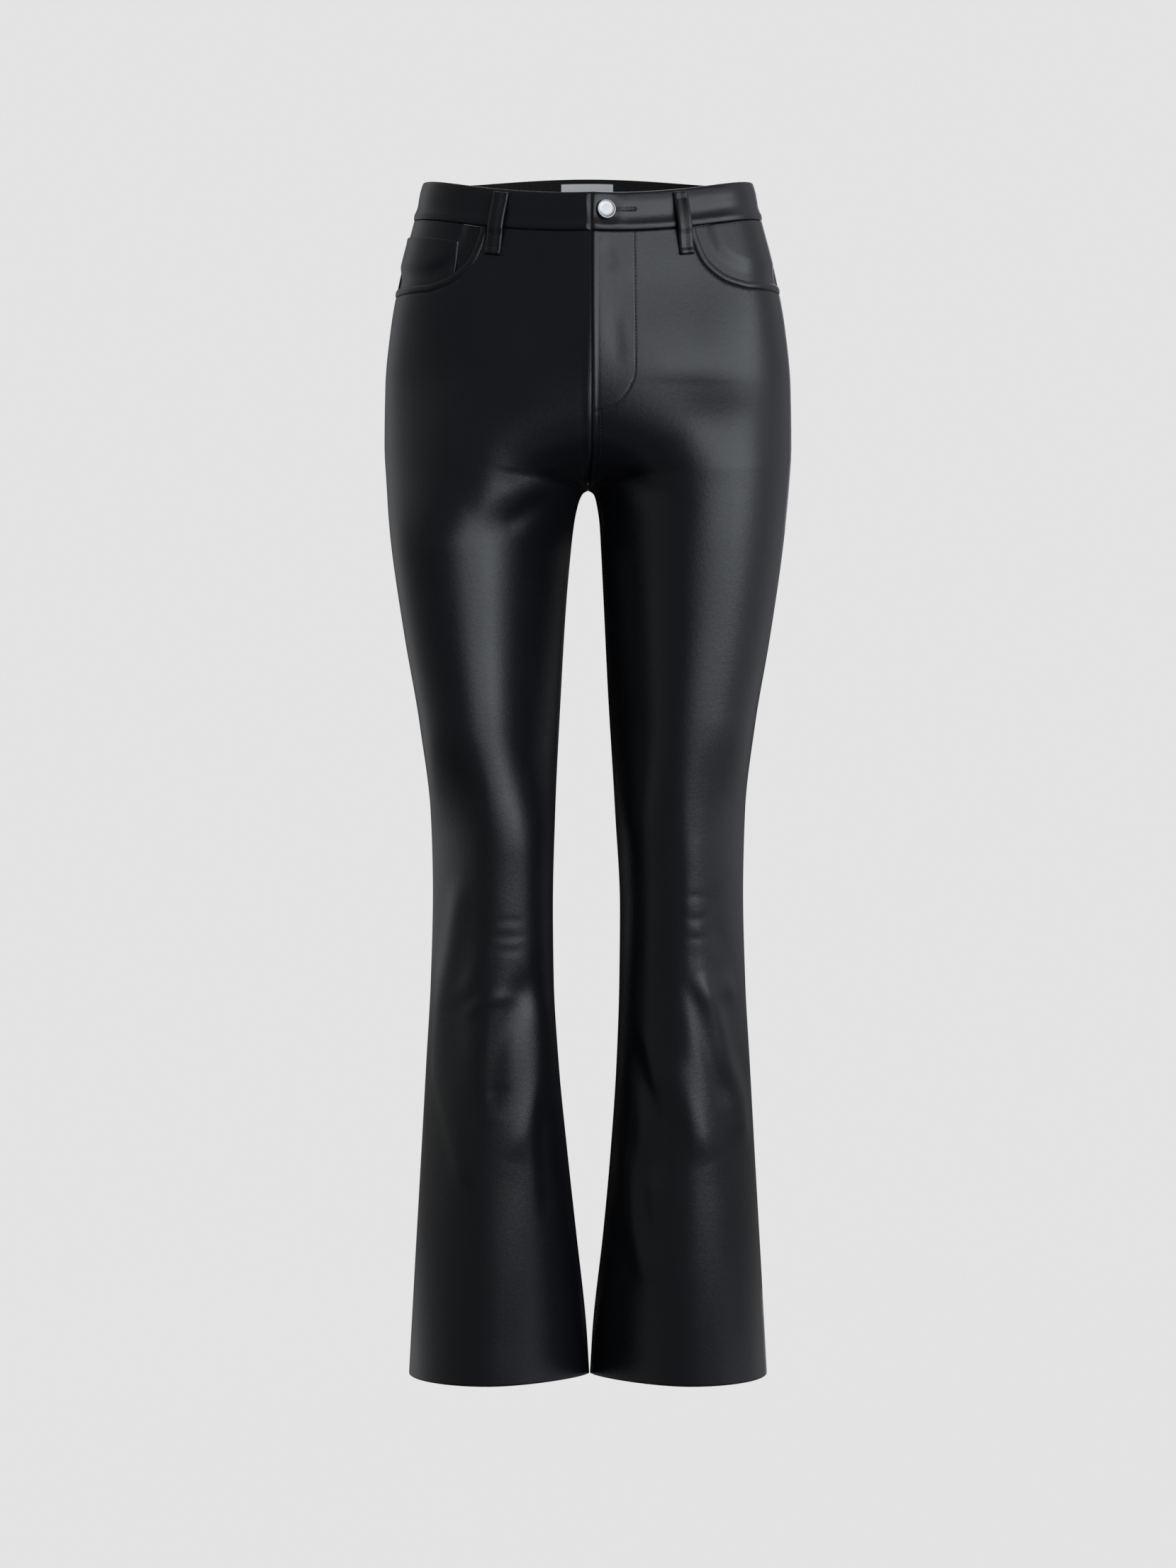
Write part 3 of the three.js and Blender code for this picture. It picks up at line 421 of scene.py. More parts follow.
class Sheet:
    """A sheet of faces over columns and levels, which can be split along contours."""

    def __init__(self, cl, quads):
        self.v = cl
        self.quads = quads
        self.polys = []

    @classmethod
    def grid(cls, columns, rows):
        """rows is a list of level arrays, one value for each column."""
        nr, nc = len(rows), len(columns)
        cl = np.stack([np.tile(columns, nr), np.concatenate(rows)], 1)
        k = np.arange(nr * nc).reshape(nr, nc)
        quads = np.stack([k[:-1, :-1], k[:-1, 1:], k[1:, 1:], k[1:, :-1]], -1).reshape(-1, 4)
        return cls(cl, quads)

    def split(self, field, iso, snap=0.12):
        """Adds an edge along the line where field equals iso."""
        value = field(self.v) - iso
        value = np.where(np.abs(value) < snap, 0.0, value)
        q = value[self.quads]
        crossed = (q.min(1) < 0) & (q.max(1) > 0)
        todo = [tuple(f) for f in self.quads[crossed].tolist()]
        self.quads = self.quads[~crossed]
        kept = []
        for f in self.polys:
            w = [value[i] for i in f]
            (todo if min(w) < 0 < max(w) else kept).append(f)
        self.polys = kept
        fresh, cut = [], {}
        total = len(self.v)
        for f in todo:
            above, below = [], []
            for a, b in zip(f, f[1:] + f[:1]):
                va, vb = value[a], value[b]
                if va >= 0:
                    above.append(a)
                if va <= 0:
                    below.append(a)
                if va * vb < 0:
                    key = (min(a, b), max(a, b))
                    if key not in cut:
                        t = value[key[0]] / (value[key[0]] - value[key[1]])
                        fresh.append(mix(self.v[key[0]], self.v[key[1]], t))
                        cut[key] = total + len(fresh) - 1
                    above.append(cut[key])
                    below.append(cut[key])
            for part in (above, below):
                if len(part) >= 3:
                    self.polys.append(tuple(part))
        if fresh:
            self.v = np.vstack([self.v, np.array(fresh)])

    def keep(self, field):
        """Drops every face on the minus side of a field whose zero line has been split."""
        value = field(self.v)
        self.quads = self.quads[value[self.quads].mean(1) > 0]
        self.polys = [f for f in self.polys if sum(value[i] for i in f) / len(f) > 0]

    def faces(self):
        return self.quads.tolist() + [list(f) for f in self.polys]


def compact(points_list, faces):
    """Drops unused points from parallel point arrays."""
    used = np.unique(np.concatenate([np.asarray(f) for f in faces]))
    index = np.full(len(points_list[0]), -1)
    index[used] = np.arange(len(used))
    return [p[used] for p in points_list], [[int(index[i]) for i in f] for f in faces]


def closed_wall(name, outer, inner, faces, materials, angle=40.0):
    """A closed wall: faces over the outer points, the same over the inner ones, and a rim."""
    count = len(outer)
    edges = set()
    for f in faces:
        for a, b in zip(f, f[1:] + f[:1]):
            edges.add((a, b))
    rim = [(a, b) for (a, b) in edges if (b, a) not in edges]
    rim.sort()
    back = [[i + count for i in f[::-1]] for f in faces]
    side = [[b, a, a + count, b + count] for a, b in rim]
    slots = [0] * len(faces) + [1] * len(back) + [0] * len(side)
    return new_object(name, np.vstack([outer, inner]), faces + back + side, materials, slots, angle)


def wall_object(name, sheet, outer, inner, turn, materials):
    """A closed wall from a sheet's faces with outer and inner points."""
    (outer, inner), faces = compact([outer, inner], sheet.faces())
    if turn < 0:
        faces = [f[::-1] for f in faces]
    return closed_wall(name, outer, inner, faces, materials)


def edge_roll(distance, radius, drop):
    """How far a rounded edge sinks, by the distance from the edge."""
    t = np.clip(1 - distance / radius, 0, 1)
    return -drop * (1 - np.sqrt(np.maximum(1 - t * t, 0)))


def groove(distance, half_width, depth):
    return -depth * np.exp(-((distance / half_width) ** 2))


# Folds: a soft ridge (height above 0) or trough along a line, by the photograph's pixels
FOLDS = [
    # side, line, width, height
    ("right", [(778, 699), (744, 721), (704, 749)], 10, -2.3),
    ("right", [(784, 672), (728, 692), (662, 722)], 16, 1.3),
    ("right", [(766, 660), (734, 673), (698, 690)], 9, -0.6),
    ("left", [(860, 660), (900, 682), (942, 712)], 11, -1.5),
    ("left", [(862, 640), (905, 664), (960, 690)], 12, 0.9),
    ("right", [(652, 1236), (636, 1340), (620, 1430), (622, 1510), (640, 1590), (660, 1680)], 9, 2.6),
    ("right", [(650, 1400), (650, 1500), (672, 1610)], 11, -1.3),
    ("right", [(684, 1326), (668, 1378), (642, 1410)], 8, 1.0),
    ("right", [(650, 1440), (676, 1417), (704, 1408), (728, 1410)], 6, 0.9),
    ("right", [(754, 1366), (724, 1430), (702, 1490), (692, 1580)], 13, -2.7),
    ("right", [(768, 1396), (764, 1480), (752, 1556), (722, 1640)], 12, 2.2),
    ("right", [(766, 1540), (768, 1640), (774, 1730)], 7, -1.5),
    ("right", [(690, 1302), (718, 1299), (744, 1301)], 3.5, -0.3),
    ("right", [(688, 1320), (716, 1322), (746, 1319)], 4, -0.4),
    ("right", [(694, 1341), (722, 1342), (742, 1338)], 3.5, -0.3),
    ("right", [(684, 1538), (706, 1541), (724, 1536)], 4, -0.3),
    ("left", [(984, 1372), (1006, 1430), (1020, 1490), (1038, 1545), (1050, 1620)], 9, 3.0),
    ("left", [(970, 1376), (990, 1440), (1006, 1500), (1028, 1566)], 8, -1.8),
    ("left", [(942, 1486), (966, 1556), (1002, 1640)], 13, 2.2),
    ("left", [(882, 1450), (906, 1520), (922, 1580), (922, 1680)], 10, -3.0),
    ("left", [(902, 1448), (914, 1500), (928, 1556)], 6, 1.0),
    ("left", [(880, 1610), (890, 1720), (916, 1816)], 9, 2.4),
    ("left", [(902, 1640), (912, 1720), (926, 1780)], 6, -1.1),
    ("left", [(978, 1176), (975, 1262), (982, 1350)], 8, 0.7),
    ("left", [(1014, 1240), (1008, 1300), (1018, 1350)], 8, -1.1),
    ("left", [(1006, 1398), (1038, 1388)], 12, 1.1),
    ("left", [(962, 1268), (982, 1264), (1002, 1268)], 3.5, -0.35),
    ("left", [(964, 1294), (984, 1297), (1000, 1292)], 4, -0.45),
    ("left", [(966, 1322), (986, 1324), (1000, 1319)], 3.5, -0.35),
    ("left", [(852, 338), (858, 360), (866, 384)], 5, -0.7),
    ("left", [(864, 430), (868, 470), (874, 515)], 6, -0.55),
]
# The same on the hidden back, by millimetres across and up
BACK_FOLDS = [
    ("right", [(-28, -278), (-74, -292), (-118, -298)], 9, -3.6),
    ("right", [(-34, -316), (-66, -328), (-98, -334)], 8, -2.2),
    ("left", [(26, -282), (70, -294), (112, -297)], 9, -3.6),
    ("left", [(32, -322), (62, -332), (92, -334)], 8, -2.2),
    ("right", [(-46, -598), (-86, -614), (-122, -620)], 8, -3.4),
    ("right", [(-50, -654), (-84, -648), (-116, -638)], 8, -2.6),
    ("left", [(44, -604), (84, -620), (118, -624)], 8, -3.4),
    ("left", [(50, -660), (86, -656), (120, -644)], 8, -2.6),
    ("right", [(-54, -684), (-70, -742), (-98, -804)], 10, 2.8),
    ("left", [(98, -690), (84, -748), (60, -808)], 10, 2.8),
]
FOLD_FADE = dict(leg=25.0, crack=4.0, side=26.0)
FOLD_TAPER = 34.0


def fold_height(side, face, c, level, point):
    """How far the folds lift or sink the surface, fading out at the seams."""
    height = np.zeros(len(point))
    for fold_side, line, width, high in (FOLDS if face == "front" else BACK_FOLDS):
        if fold_side != side:
            continue
        line = np.array(line, float)
        if face == "front":
            cl = locate(side, line)
            line = surfaces[side, face].point(cl[:, 0], cl[:, 1])[:, [0, 2]]
        line = curved(line, 24)
        size = np.hypot(*np.diff(line, axis=0).T).sum()
        near = ((np.abs(point[:, 0] - line[:, 0].mean()) < size + 4 * width)
                & (np.abs(point[:, 2] - line[:, 1].mean()) < size + 4 * width))
        far, _, along = line_distance(point[near][:, [0, 2]], line)
        taper = min(FOLD_TAPER, size / 2)
        ends = smooth((along + 0.25 * taper) / taper) * smooth((size + 0.25 * taper - along) / taper)
        height[near] += high * ends * np.exp(-((far / width) ** 2))
    length = surfaces[side, face].length(level)
    inner_fade = np.where(level > FORK["level"], FOLD_FADE["crack"], FOLD_FADE["leg"])
    return (height * smooth(c * length / inner_fade)
            * smooth((1 - c) * length / FOLD_FADE["side"]))


# Materials
def node_material(name, build):
    material = bpy.data.materials.new(name)
    material.use_nodes = True
    tree = material.node_tree
    build(tree, tree.nodes["Principled BSDF"])
    return material


def leather_look(tree, shader):
    nodes, links = tree.nodes, tree.links
    coords = nodes.new("ShaderNodeTexCoord")
    pebbles = nodes.new("ShaderNodeTexVoronoi")
    pebbles.feature = "DISTANCE_TO_EDGE"
    pebbles.inputs["Scale"].default_value = 950.0
    links.new(coords.outputs["Object"], pebbles.inputs["Vector"])
    ridge = nodes.new("ShaderNodeMapRange")
    ridge.inputs["From Max"].default_value = 0.25
    links.new(pebbles.outputs["Distance"], ridge.inputs["Value"])
    cloud = nodes.new("ShaderNodeTexNoise")
    cloud.inputs["Scale"].default_value = 260.0
    cloud.inputs["Detail"].default_value = 4.0
    links.new(coords.outputs["Object"], cloud.inputs["Vector"])
    fine = nodes.new("ShaderNodeBump")
    fine.inputs["Strength"].default_value = 0.16
    fine.inputs["Distance"].default_value = 0.0002
    links.new(ridge.outputs["Result"], fine.inputs["Height"])
    coarse = nodes.new("ShaderNodeBump")
    coarse.inputs["Strength"].default_value = 0.12
    coarse.inputs["Distance"].default_value = 0.0008
    links.new(cloud.outputs["Fac"], coarse.inputs["Height"])
    links.new(fine.outputs["Normal"], coarse.inputs["Normal"])
    links.new(coarse.outputs["Normal"], shader.inputs["Normal"])
    blotch = nodes.new("ShaderNodeTexNoise")
    blotch.inputs["Scale"].default_value = 14.0
    blotch.inputs["Detail"].default_value = 5.0
    links.new(coords.outputs["Object"], blotch.inputs["Vector"])
    rough = nodes.new("ShaderNodeMapRange")
    rough.inputs["From Min"].default_value = 0.3
    rough.inputs["From Max"].default_value = 0.7
    rough.inputs["To Min"].default_value = 0.27
    rough.inputs["To Max"].default_value = 0.34
    links.new(blotch.outputs["Fac"], rough.inputs["Value"])
    links.new(rough.outputs["Result"], shader.inputs["Roughness"])
    tone = nodes.new("ShaderNodeMixRGB")
    tone.inputs["Color1"].default_value = (0.0048, 0.0056, 0.0082, 1)
    tone.inputs["Color2"].default_value = (0.008, 0.0088, 0.0118, 1)
    links.new(blotch.outputs["Fac"], tone.inputs["Fac"])
    links.new(tone.outputs["Color"], shader.inputs["Base Color"])
    shader.inputs["Specular IOR Level"].default_value = 0.4


def one_texture_look(kind, texture, bump, tones, surface, stretch=None):
    """A look in which one texture drives a fine bump and the mix of two tones."""
    def build(tree, shader):
        nodes, links = tree.nodes, tree.links
        coords = nodes.new("ShaderNodeTexCoord")
        place = coords.outputs["Object"]
        if stretch:
            mapping = nodes.new("ShaderNodeMapping")
            mapping.inputs["Scale"].default_value = stretch
            links.new(place, mapping.inputs["Vector"])
            place = mapping.outputs["Vector"]
        pattern = nodes.new(kind)
        for socket, value in texture.items():
            pattern.inputs[socket].default_value = value
        links.new(place, pattern.inputs["Vector"])
        relief = nodes.new("ShaderNodeBump")
        for socket, value in bump.items():
            relief.inputs[socket].default_value = value
        links.new(pattern.outputs["Fac"], relief.inputs["Height"])
        links.new(relief.outputs["Normal"], shader.inputs["Normal"])
        tone = nodes.new("ShaderNodeMixRGB")
        for socket, colour in zip(("Color1", "Color2"), tones):
            tone.inputs[socket].default_value = colour + (1,)
        links.new(pattern.outputs["Fac"], tone.inputs["Fac"])
        links.new(tone.outputs["Color"], shader.inputs["Base Color"])
        for socket, value in surface.items():
            shader.inputs[socket].default_value = value
    return build


thread = node_material("black_thread", one_texture_look(
    "ShaderNodeTexNoise", {"Scale": 2500.0}, {"Strength": 0.5, "Distance": 0.0001},
    ((0.004, 0.004, 0.0045), (0.012, 0.012, 0.013)), {"Roughness": 0.45}))
label_cloth = node_material("woven_label", one_texture_look(
    "ShaderNodeTexWave", {"Scale": 700.0, "Distortion": 1.0}, {"Strength": 0.3, "Distance": 0.0002},
    ((0.78, 0.78, 0.77), (0.9, 0.9, 0.89)), {"Roughness": 0.75}))
metal = node_material("brushed_metal", one_texture_look(
    "ShaderNodeTexNoise", {"Scale": 1.0, "Detail": 5.0}, {"Strength": 0.25, "Distance": 0.0001},
    ((0.3, 0.305, 0.315), (0.44, 0.445, 0.455)), {"Metallic": 1.0, "Roughness": 0.38},
    stretch=(150.0, 150.0, 4000.0)))
leather = node_material("leather_grain", leather_look)
backing = node_material("leather_backing", one_texture_look(
    "ShaderNodeTexNoise", {"Scale": 900.0}, {"Strength": 0.4, "Distance": 0.0003},
    ((0.010, 0.010, 0.011), (0.022, 0.022, 0.024)), {"Roughness": 0.9, "Specular IOR Level": 0.2}))
LEATHER = [leather, backing]

# Panels
STEP = 2.6
MILLIMETRE = 0.001
EDGE = dict(radius=1.5, drop=0.85, closed=22.0)


def declare(obj, node, flat=None):
    """Fixes a piece to the part in place of its solid; the cut of a cloth piece is read but not kept."""
    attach(obj, "root")
    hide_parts(node)
    if flat:
        width, length, area = flat
        area = min(area, width * length)
    return obj


def area_of(obj):
    """Half of a closed wall's surface, in square millimetres."""
    return sum(polygon.area for polygon in obj.data.polygons) / 2 / MILLIMETRE**2


def level_line(value):
    return lambda c: np.full(np.shape(c), float(value))


def yoke_line(offset=0.0):
    return lambda c: mix(YOKE["side"], YOKE["centre"], 1 - np.asarray(c)) + offset


def scoop_line(side):
    """The scoop's cut edge as (station, level), running on past the side seam."""
    surface = surfaces[side, "front"]
    xz = []
    for x, z in SCOOP_EDGE:
        lower = SCOOP["lower_on_right"] * smooth((x - SCOOP["lower_from"]) / SCOOP["lower_over"])
        xz.append((SIGN[side] * x, z - (lower if side == "right" else 0.0)))
    line = to_station(surface, place(side, "front", xz))
    long = float(surface.length(line[-1][1]))
    last = np.array([long * 1.15, line[-1][1] - SCOOP["drop_to_side"]])
    first = line[0] + (line[0] - line[1]) / np.hypot(*(line[0] - line[1])) * 12
    return curved(np.vstack([first, line, last]), 90)


SCOOP_LINE = {side: scoop_line(side) for side in SIGN}


def beside(line, offset):
    """A line moved sideways, plus to its left."""
    step = np.gradient(line, axis=0)
    step /= np.hypot(step[:, 0], step[:, 1])[:, None]
    return line + offset * np.stack([-step[:, 1], step[:, 0]], 1)


def signed(line):
    """Distance from a line over a sheet's columns and levels, plus below it or outside it."""
    def field_for(surface):
        def field(cl):
            far, side, _ = line_distance(to_station(surface, cl), line)
            return far * -side
        return field
    return field_for


def stations_from(side, pixels):
    return to_station(surfaces[side, "front"], locate(side, pixels))


J_STITCH = curved(stations_from("left", [
    (895.4, 318), (896.4, 400), (897, 501), (895, 531), (889, 545), (879, 560), (866, 571), (850, 578),
    (838, 581)]), 120)
CROTCH_STITCH = curved(stations_from("left", [(847.4, 584), (847.4, 610), (847, 640), (846, 650)]), 30)


def panel(name, node, side, face, top, bottom, lines=(), cut_line=None, bead=None):
    """One cut panel: rows between two level lines, grooves along stitch lines, rolled edges."""
    surface = surfaces[side, face]
    columns = np.linspace(0, 1, int(round(surface.length(-180.0) / STEP)) + 1)
    count = int(round((np.mean(top(columns)) - np.mean(bottom(columns))) / STEP)) + 1
    rows = [mix(top(columns), bottom(columns), t) for t in np.linspace(0, 1, count)]
    sheet = Sheet.grid(columns, rows)
    borders = [
        lambda cl: cl[:, 0] * surface.length(cl[:, 1]),
        lambda cl: (1 - cl[:, 0]) * surface.length(cl[:, 1]),
        lambda cl: top(cl[:, 0]) - cl[:, 1],
        lambda cl: cl[:, 1] - bottom(cl[:, 0]),
    ]
    for border in borders:
        for iso in (0.4, 1.0, 1.8):
            sheet.split(border, iso)
    if bead:
        for iso in (2.6, 3.4, 4.4):
            sheet.split(borders[0], iso)
    if cut_line is not None:
        field = signed(cut_line)(surface)
        sheet.split(field, 0.0, snap=0.02)
        sheet.keep(field)
        for iso in (0.4, 1.0, 1.8, 3.4, 5.2, 6.1, SCOOP["band"], 7.5, 8.6):
            sheet.split(field, iso)
    for line in lines:
        stitched = signed(line)(surface)
        for iso in (-1.6, -0.8, 0.0, 0.8, 1.6):
            sheet.split(stitched, iso)
    cl = sheet.v
    c, level = cl[:, 0], cl[:, 1]
    base, normal = surface.point(c, level), surface.normal(c, level)
    height = fold_height(side, face, c, level, base)
    inner = base + normal * (height - WALL)[:, None]
    closed = 1 - np.exp(-(((level - FORK["level"]) / EDGE["closed"]) ** 2))
    height = height + edge_roll(borders[0](cl), EDGE["radius"], EDGE["drop"]) * closed
    for border in borders[1:]:
        height = height + edge_roll(border(cl), EDGE["radius"], EDGE["drop"])
    for line in lines:
        height = height + groove(signed(line)(surface)(cl), 0.8, 0.25)
    if bead:
        centre = borders[0](cl)
        height = height + bead[1] * np.exp(-(((centre - bead[0]) / bead[2]) ** 2))
        height = height - 0.35 * bead[1] * np.exp(-(((centre - bead[0] - 2.6 * bead[2]) / bead[2]) ** 2))
    if cut_line is not None:
        far = signed(cut_line)(surface)(cl)
        height = height + edge_roll(np.maximum(far, 0), 1.4, 0.9)
        band = np.clip(far / SCOOP["band"], 0, 1)
        height = height + 0.9 * np.sin(np.pi * band) ** 0.8
        height = height + groove(far - SCOOP["band"], 0.8, 0.5)
    outer = base + normal * height[:, None]
    obj = wall_object(name, sheet, outer, inner, surface.turn, LEATHER)
    down = np.linspace(float(top(0.5)), float(bottom(0.5)), 100)
    return declare(obj, node, flat=(surface.length(down).max() * 1.06, (down[0] - down[-1]) * 1.03,
                                    area_of(obj)))


TOP = BAND["bottom"] - GAP
for side in ("right", "left"):
    panel(f"front_{side}", f"front_panel_{side}", side, "front", level_line(TOP), level_line(HEM_LEVEL),
          lines=(J_STITCH, CROTCH_STITCH) if side == "left" else (),
          cut_line=SCOOP_LINE[side], bead=(2.4, 0.5, 1.2) if side == "left" else (3.4, 0.45, 1.6))
    panel(f"back_{side}", f"back_panel_{side}", side, "back", yoke_line(-GAP), level_line(HEM_LEVEL))
    panel(f"yoke_{side}", f"back_yoke_{side}", side, "back", level_line(TOP), yoke_line())


# Smaller pieces, as walls over grids of points
def spread(start, end, step, edges=(0.35, 0.8, 1.4)):
    """Places from start to end, a step apart, and closer together at both ends."""
    size = abs(end - start)
    inner = np.arange(1, int(size / step) + 1) * step
    inner = inner[(inner > edges[-1] + step / 3) & (inner < size - edges[-1] - step / 3)]
    at = np.concatenate([[0], edges, inner, size - np.array(edges[::-1]), [size]])
    return start + np.sign(end - start) * at


def grid_wall(name, outer, inner, materials, angle=40.0):
    """A closed wall between two grids of points, shaped (rows, columns, 3)."""
    rows, columns = outer.shape[:2]
    k = np.arange(rows * columns).reshape(rows, columns)
    quads = np.stack([k[:-1, :-1], k[1:, :-1], k[1:, 1:], k[:-1, 1:]], -1).reshape(-1, 4)
    centre = (outer[rows // 2, columns // 2] + inner[rows // 2, columns // 2]) / 2
    row, column = rows // 2, columns // 2
    a, b, c = outer[row, column], outer[row + 1, column], outer[row, column + 1]
    if np.dot(np.cross(b - a, c - a), a - centre) < 0:
        quads = quads[:, ::-1]
    faces = [list(map(int, f)) for f in quads]
    return closed_wall(name, outer.reshape(-1, 3), inner.reshape(-1, 3), faces, materials, angle)


def from_borders(rows, columns):
    """Least distance of each grid point from the four borders, given places along each way."""
    r = np.minimum(np.abs(rows - rows[0]), np.abs(rows - rows[-1]))
    c = np.minimum(np.abs(columns - columns[0]), np.abs(columns - columns[-1]))
    return r[:, None], c[None, :]


def rolled(rows, columns, radius=1.2, drop=0.7):
    r, c = from_borders(rows, columns)
    return edge_roll(r, radius, drop) + edge_roll(c, radius, drop)


def sunk_facing(side, c, level):
    """How deep the pocket facing lies under the panel's surface."""
    surface = surfaces[side, "front"]
    cl = np.stack([np.ravel(c), np.ravel(level)], 1)
    inside = -signed(SCOOP_LINE[side])(surface)(cl)
    depth = WALL + GAP + (COIN_POCKET["wall"] + GAP if side == "right" else 0.0)
    return (depth * (1 - smooth((inside - SCOOP["flat"]) / SCOOP["slope"]))).reshape(np.shape(c))


for side in ("right", "left"):
    surface = surfaces[side, "front"]
    long = float(surface.length(-80.0))
    columns = spread(SCOOP["facing_from"] * long, long, 2.0)
    rows = spread(TOP, SCOOP["facing_to"], 2.0)
    c, level = np.meshgrid(columns / long, rows)
    base, normal = surface.point(c, level), surface.normal(c, level)
    sunk = sunk_facing(side, c, level)
    inner = base - normal * (sunk + WALL)[..., None]
    outer = base + normal * (rolled(rows, columns) - sunk)[..., None]
    obj = grid_wall(f"facing_{side}", outer, inner, LEATHER)
    declare(obj, f"pocket_facing_{side}",
            flat=(columns[-1] - columns[0] + 6, rows[0] - rows[-1] + 6, area_of(obj)))

# Coin pocket on the right facing
surface = surfaces["right", "front"]
long = float(surface.length(-80.0))
columns = spread(COIN_POCKET["inner"] * long, COIN_POCKET["outer"] * long, 1.6)
rows = spread(COIN_POCKET["top"], COIN_POCKET["bottom"], 1.6)
c, level = np.meshgrid(columns / long, rows)
base, normal = surface.point(c, level), surface.normal(c, level)
lift = GAP - sunk_facing("right", c, level)
puff = 0.5 * np.exp(-(((np.abs(columns - columns[0]) - 2.2) / 1.6) ** 2))[None, :]
puff = puff + 0.4 * np.exp(-(((np.abs(rows - rows[0]) - 2.2) / 1.6) ** 2))[:, None]
outer = base + normal * (lift + COIN_POCKET["wall"] + puff + rolled(rows, columns, 1.0, 0.6))[..., None]
obj = grid_wall("coin_pocket_front", outer, base + normal * lift[..., None], LEATHER)
declare(obj, "coin_pocket", flat=(columns[-1] - columns[0] + 3, rows[0] - rows[-1] + 3, area_of(obj)))


def at_station(face, station, level, out=0.0):
    """A point round the body, by its distance from the centre line, moved out."""
    station, level, out = np.broadcast_arrays(*(np.asarray(v, float) for v in (station, level, out)))
    result = np.zeros(station.shape + (3,))
    for side in SIGN:
        here = (station < 0) if side == "right" else (station >= 0)
        surface = surfaces[side, face]
        c = np.abs(station[here]) / surface.length(level[here])
        result[here] = (surface.point(c, level[here])
                        + surface.normal(c, level[here]) * out[here][:, None])
    return result


# Fly underlay behind the front opening
columns = spread(-12.4, 24.8, 2.0)
rows = spread(TOP, FLY["underlay_to"], 4.0)
station, level = np.meshgrid(columns, rows)
outer = at_station("front", station, level, -WALL - GAP)
inner = at_station("front", station, level, -2 * WALL - GAP)
obj = grid_wall("underlay", outer, inner, LEATHER)
declare(obj, "fly_underlay", flat=(38.5, rows[0] - rows[-1] + 2, area_of(obj)))

# Waistband: one strip right round from the left front end, then under its own start
band_length = {(side, face): float(surfaces[side, face].length(-20.0)) for side in SIGN for face in OUTWARD}
stretches = [("left", "front", 1), ("left", "back", -1), ("right", "back", 1), ("right", "front", -1)]
ends = np.cumsum([0] + [band_length[side, face] for side, face, _ in stretches])
round_total = ends[-1] + BAND["underlap"]
along = np.unique(np.concatenate([spread(0, round_total, 2.2), ends[1:-1],
                                  ends[-1] + np.array([-5.0, -4.0, -3.0, -2.0, -1.0, 0.0, 3.4])]))
rows = spread(BAND["top"], BAND["bottom"], 1.5)
outer = np.zeros((len(rows), len(along), 3))
inner = np.zeros_like(outer)
relief = np.zeros((len(rows), len(along)))
down, up = rows[0] - rows, rows - rows[-1]
relief += edge_roll(down, 2.2, 1.4)[:, None] + edge_roll(up, 1.6, 1.0)[:, None]
relief += 0.6 * np.exp(-(((up - 4.2) / 2.4) ** 2))[:, None]
relief -= 0.5 * np.exp(-(((up - 12.0) / 4.0) ** 2))[:, None]
relief += 0.4 * np.exp(-(((down - 8.0) / 5.0) ** 2))[:, None]
relief += edge_roll(along, 2.0, 1.3)[None, :] + 0.35 * np.exp(-(((along - 3.6) / 1.8) ** 2))[None, :]
button_at = BUTTON["station"]
from_button = np.hypot(along[None, :] - button_at, (rows - BUTTON["level"])[:, None])
relief -= 0.8 * np.exp(-((from_button / 9.0) ** 2))
relief += 0.4 * np.exp(-(((from_button - 15.0) / 5.0) ** 2)) * (along[None, :] < 60)
for k, where in enumerate(along):
    if where > ends[-1]:
        side, face, c, sunk = "left", "front", (where - ends[-1]) / band_length["left", "front"], 1.0
    else:
        i = min(int(np.searchsorted(ends, where, side="right")) - 1, 3)
        side, face, way = stretches[i]
        c = (where - ends[i]) / (ends[i + 1] - ends[i])
        c = c if way > 0 else 1 - c
        sunk = float(smooth(1 - c * band_length[side, face] / BAND["dip"])) if i == 3 else 0.0
    surface = surfaces[side, face]
    base, normal = surface.point(c, rows), surface.normal(c, rows)
    deep = BAND["proud"] - sunk * (BAND["wall"] + GAP)
    inner[:, k] = base + normal * (deep - BAND["wall"])
    outer[:, k] = base + normal * (deep + relief[:, k] * (1 - sunk))[:, None]
obj = grid_wall("band", outer, inner, LEATHER)
declare(obj, "waistband", flat=(rows[0] - rows[-1] + 1.5, round_total * 1.03, area_of(obj)))

# Belt loops, arched over the waistband
threads = []


